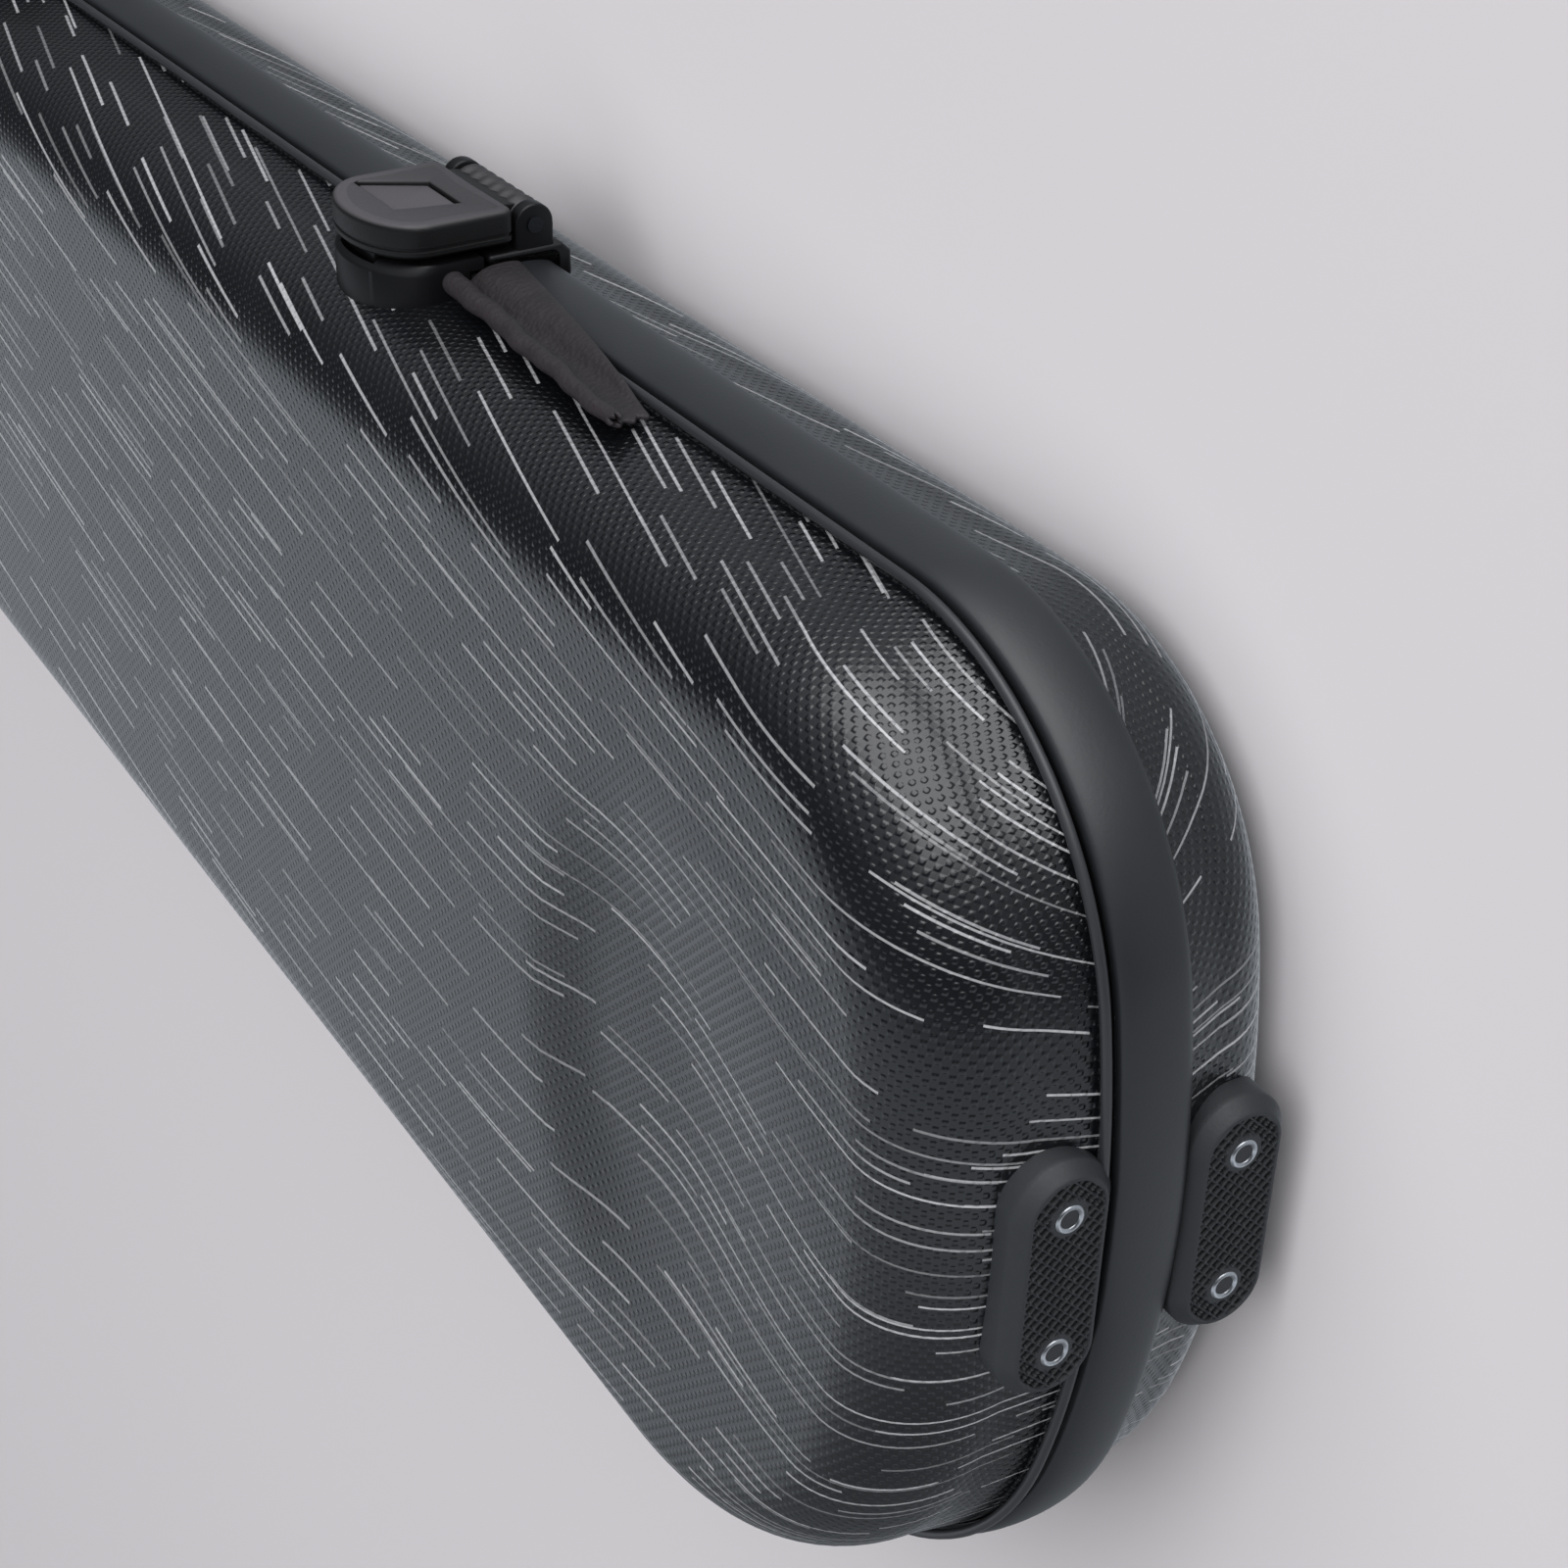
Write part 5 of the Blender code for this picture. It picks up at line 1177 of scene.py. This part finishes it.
class BOWCASE_OT_feet(bpy.types.Operator):
    """Build the feet with their tubular rivets"""

    bl_idname = "bowcase.feet"
    bl_label = "Feet"

    def execute(self, context):
        end_y = SPINE_Y - WIDE_WIDTH * END_FOOT_SHARE
        for body in ("lid", "base"):
            foot(body + "_end_foot", "end", end_y, END_FOOT_PROUD, body)
            for number, x in enumerate((-SPINE_FOOT_X, SPINE_FOOT_X), 1):
                foot("%s_spine_foot_%d" % (body, number), "spine", x, SPINE_FOOT_PROUD, body)
        return {"FINISHED"}


class BOWCASE_OT_latches(bpy.types.Operator):
    """Build both latches"""

    bl_idname = "bowcase.latches"
    bl_label = "Latches"

    def execute(self, context):
        for number, x in enumerate((-LATCH_X, LATCH_X), 1):
            latch(number, x)
        return {"FINISHED"}


class BOWCASE_OT_handle(bpy.types.Operator):
    """Build the grip and finish its brackets"""

    bl_idname = "bowcase.handle"
    bl_label = "Handle"

    def execute(self, context):
        make_handle()
        return {"FINISHED"}


class BOWCASE_OT_hinges(bpy.types.Operator):
    """Finish the hinges, the bow clips and their posts"""

    bl_idname = "bowcase.hinges"
    bl_label = "Hinges and clips"

    def execute(self, context):
        for number in (1, 2, 3):
            for part in ("base_leaf", "lid_leaf", "pin"):
                dress("hinge_%d_%s" % (number, part), blackened_finish())
        for number in (1, 2):
            dress("bow_clip_%d" % number, fitting_finish())
            dress("clip_post_%d" % number, steel_finish())
        return {"FINISHED"}


class BOWCASE_OT_tab(bpy.types.Operator):
    """Build the leather pull tab"""

    bl_idname = "bowcase.tab"
    bl_label = "Pull tab"

    def execute(self, context):
        make_tab()
        return {"FINISHED"}


class BOWCASE_OT_linings(bpy.types.Operator):
    """Build the velvet linings"""

    bl_idname = "bowcase.linings"
    bl_label = "Linings"

    def execute(self, context):
        make_linings()
        return {"FINISHED"}


class BOWCASE_PT_panel(bpy.types.Panel):
    """Lists the case's pieces, sizes and colours"""

    bl_idname = "BOWCASE_PT_panel"
    bl_label = "Bow Case"
    bl_space_type = "VIEW_3D"
    bl_region_type = "UI"
    bl_category = "Bow Case"

    def draw(self, context):
        for step in STEPS:
            self.layout.operator(step.bl_idname)
        for group in (context.scene.bow_case_sizes, context.scene.bow_case_colours):
            column = self.layout.column(align=True)
            for name in group.__annotations__:
                column.prop(group, name)


STEPS = (BOWCASE_OT_stage, BOWCASE_OT_shells, BOWCASE_OT_rim, BOWCASE_OT_feet, BOWCASE_OT_latches,
         BOWCASE_OT_handle, BOWCASE_OT_hinges, BOWCASE_OT_tab, BOWCASE_OT_linings)
CLASSES = (CaseSizes, CaseColours, *STEPS, BOWCASE_PT_panel)


# Stage

def soft_light(name, place, target, size, power):
    """A rectangular area lamp at a place, turned to face a target, unseen by the camera."""
    lamp = bpy.data.lights.new(name, "AREA")
    lamp.shape = "RECTANGLE"
    lamp.size, lamp.size_y = size
    lamp.energy = power
    obj = linked(name, lamp)
    away = np.asarray(place) - np.asarray(target)
    away = away / np.linalg.norm(away)
    side = np.cross(PLAIN_UP, away)
    side = side / np.linalg.norm(side)
    obj.matrix_world = Matrix(axes(side, np.cross(away, side), away, place).tolist())
    obj.visible_camera = False
    return obj


def make_floor():
    """A wide floor of matt paper, faintly clouded, that neither mirrors in the case nor shades the lamps."""
    reach = 12.0
    mesh = bpy.data.meshes.new("studio_floor")
    mesh.from_pydata([(-reach, -reach, 0.0), (reach, -reach, 0.0), (reach, reach, 0.0), (-reach, reach, 0.0)],
                     [], [(0, 1, 2, 3)])
    look, tree, shader = new_finish("matt_paper", roughness=0.9, specular_ior_level=0.1)
    place = node(tree, "TexCoord").outputs["Object"]
    cloud = node(tree, "TexNoise", {"Vector": place, "Scale": 2.0, "Detail": 1.0})
    floor = colours().floor
    shade = node(tree, "Mix", {"Factor": cloud, "A": (*floor, 1.0), "B": (*[c * 0.97 for c in floor], 1.0)},
                 data_type="RGBA")
    wire(tree, shader, {"Base Color": shade})
    mesh.materials.append(look)
    obj = linked("studio_floor", mesh)
    obj.visible_glossy = False
    obj.visible_shadow = False


def make_surround():
    """A surround that the glossy finishes mirror and that gives no diffuse light.

    Its strength is the greater of two: a wall that brightens and then dims again towards the spine's side,
    with haze towards the latches' side; and pale paper below the horizon.
    """
    world = bpy.data.worlds.new("studio_surround")
    world.use_nodes = True
    tree = world.node_tree
    toward = node(tree, "TexCoord").outputs["Generated"]
    toward, down = node(tree, "SeparateXYZ", {"Vector": toward}).outputs[1:]
    ranges = ((toward, 0.05, 0.42, 0.08, 0.92), (toward, 0.62, 0.88, 1.0, 0.3),
              (toward, -0.2, -0.8, 0.0, 0.6), (down, -0.1, -0.6, 0.0, 0.6))
    wall, edge, haze, paper = (
        node(tree, "MapRange", {"Value": value, "From Min": low, "From Max": high, "To Min": start,
                                "To Max": end}, interpolation_type="SMOOTHSTEP")
        for value, low, high, start, end in ranges)
    wall = node(tree, "Math", {0: wall, 1: edge}, operation="MULTIPLY")
    level = node(tree, "Math", {0: wall, 1: haze}, operation="ADD")
    level = node(tree, "Math", {0: level, 1: paper}, operation="MAXIMUM")
    wire(tree, tree.nodes["Background"], {"Color": (*linear("dde4ec"), 1.0), "Strength": level})
    world.cycles_visibility.diffuse = False
    return world


def make_stage():
    """A pale floor under the case, a dim surround, soft lamps and the photograph's camera."""
    scene = bpy.context.scene
    scene.view_settings.view_transform = "Standard"
    make_floor()
    scene.world = make_surround()

    lamp = soft_light("overhead_box", (-0.6, -1.55, 0.12), (-0.37, -0.05, 0.03), (2.1, 1.4), 26.0)
    lamp.visible_diffuse = False
    lamp = soft_light("floor_box", (-1.3, -1.5, 2.0), (-0.3, 0.0, 0.0), (2.4, 2.4), 46.0)
    lamp.visible_glossy = False
    sky = bpy.data.lights.new("sky_glow", "SUN")
    sky.energy = 2.5
    sky.angle = math.radians(110.0)
    lamp = linked("sky_glow", sky)
    lamp.rotation_euler = (0.6, -0.35, 0.0)
    lamp.visible_glossy = False

    camera = bpy.data.cameras.new("photo_camera")
    camera.lens = 76.5
    camera.sensor_width = 36.0
    camera.clip_start = 0.01
    camera.clip_end = 100.0
    obj = linked("photo_camera", camera)
    right = np.array([-0.51402, -0.04230, -0.85673])
    up = np.array([0.48416, -0.83878, -0.24908])
    spot = (-0.619708, -0.269417, 0.217368)
    obj.matrix_world = Matrix(axes(right, up, np.cross(right, up), spot).tolist())
    scene.camera = obj


def register():
    for kind in CLASSES:
        bpy.utils.register_class(kind)
    bpy.types.Scene.bow_case_sizes = PointerProperty(type=CaseSizes)
    bpy.types.Scene.bow_case_colours = PointerProperty(type=CaseColours)


def unregister():
    del bpy.types.Scene.bow_case_colours
    del bpy.types.Scene.bow_case_sizes
    for kind in reversed(CLASSES):
        bpy.utils.unregister_class(kind)


def main():
    """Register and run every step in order."""
    register()
    for step in STEPS:
        group, name = step.bl_idname.split(".")
        getattr(getattr(bpy.ops, group), name)()


if __name__ == "__main__":
    main()
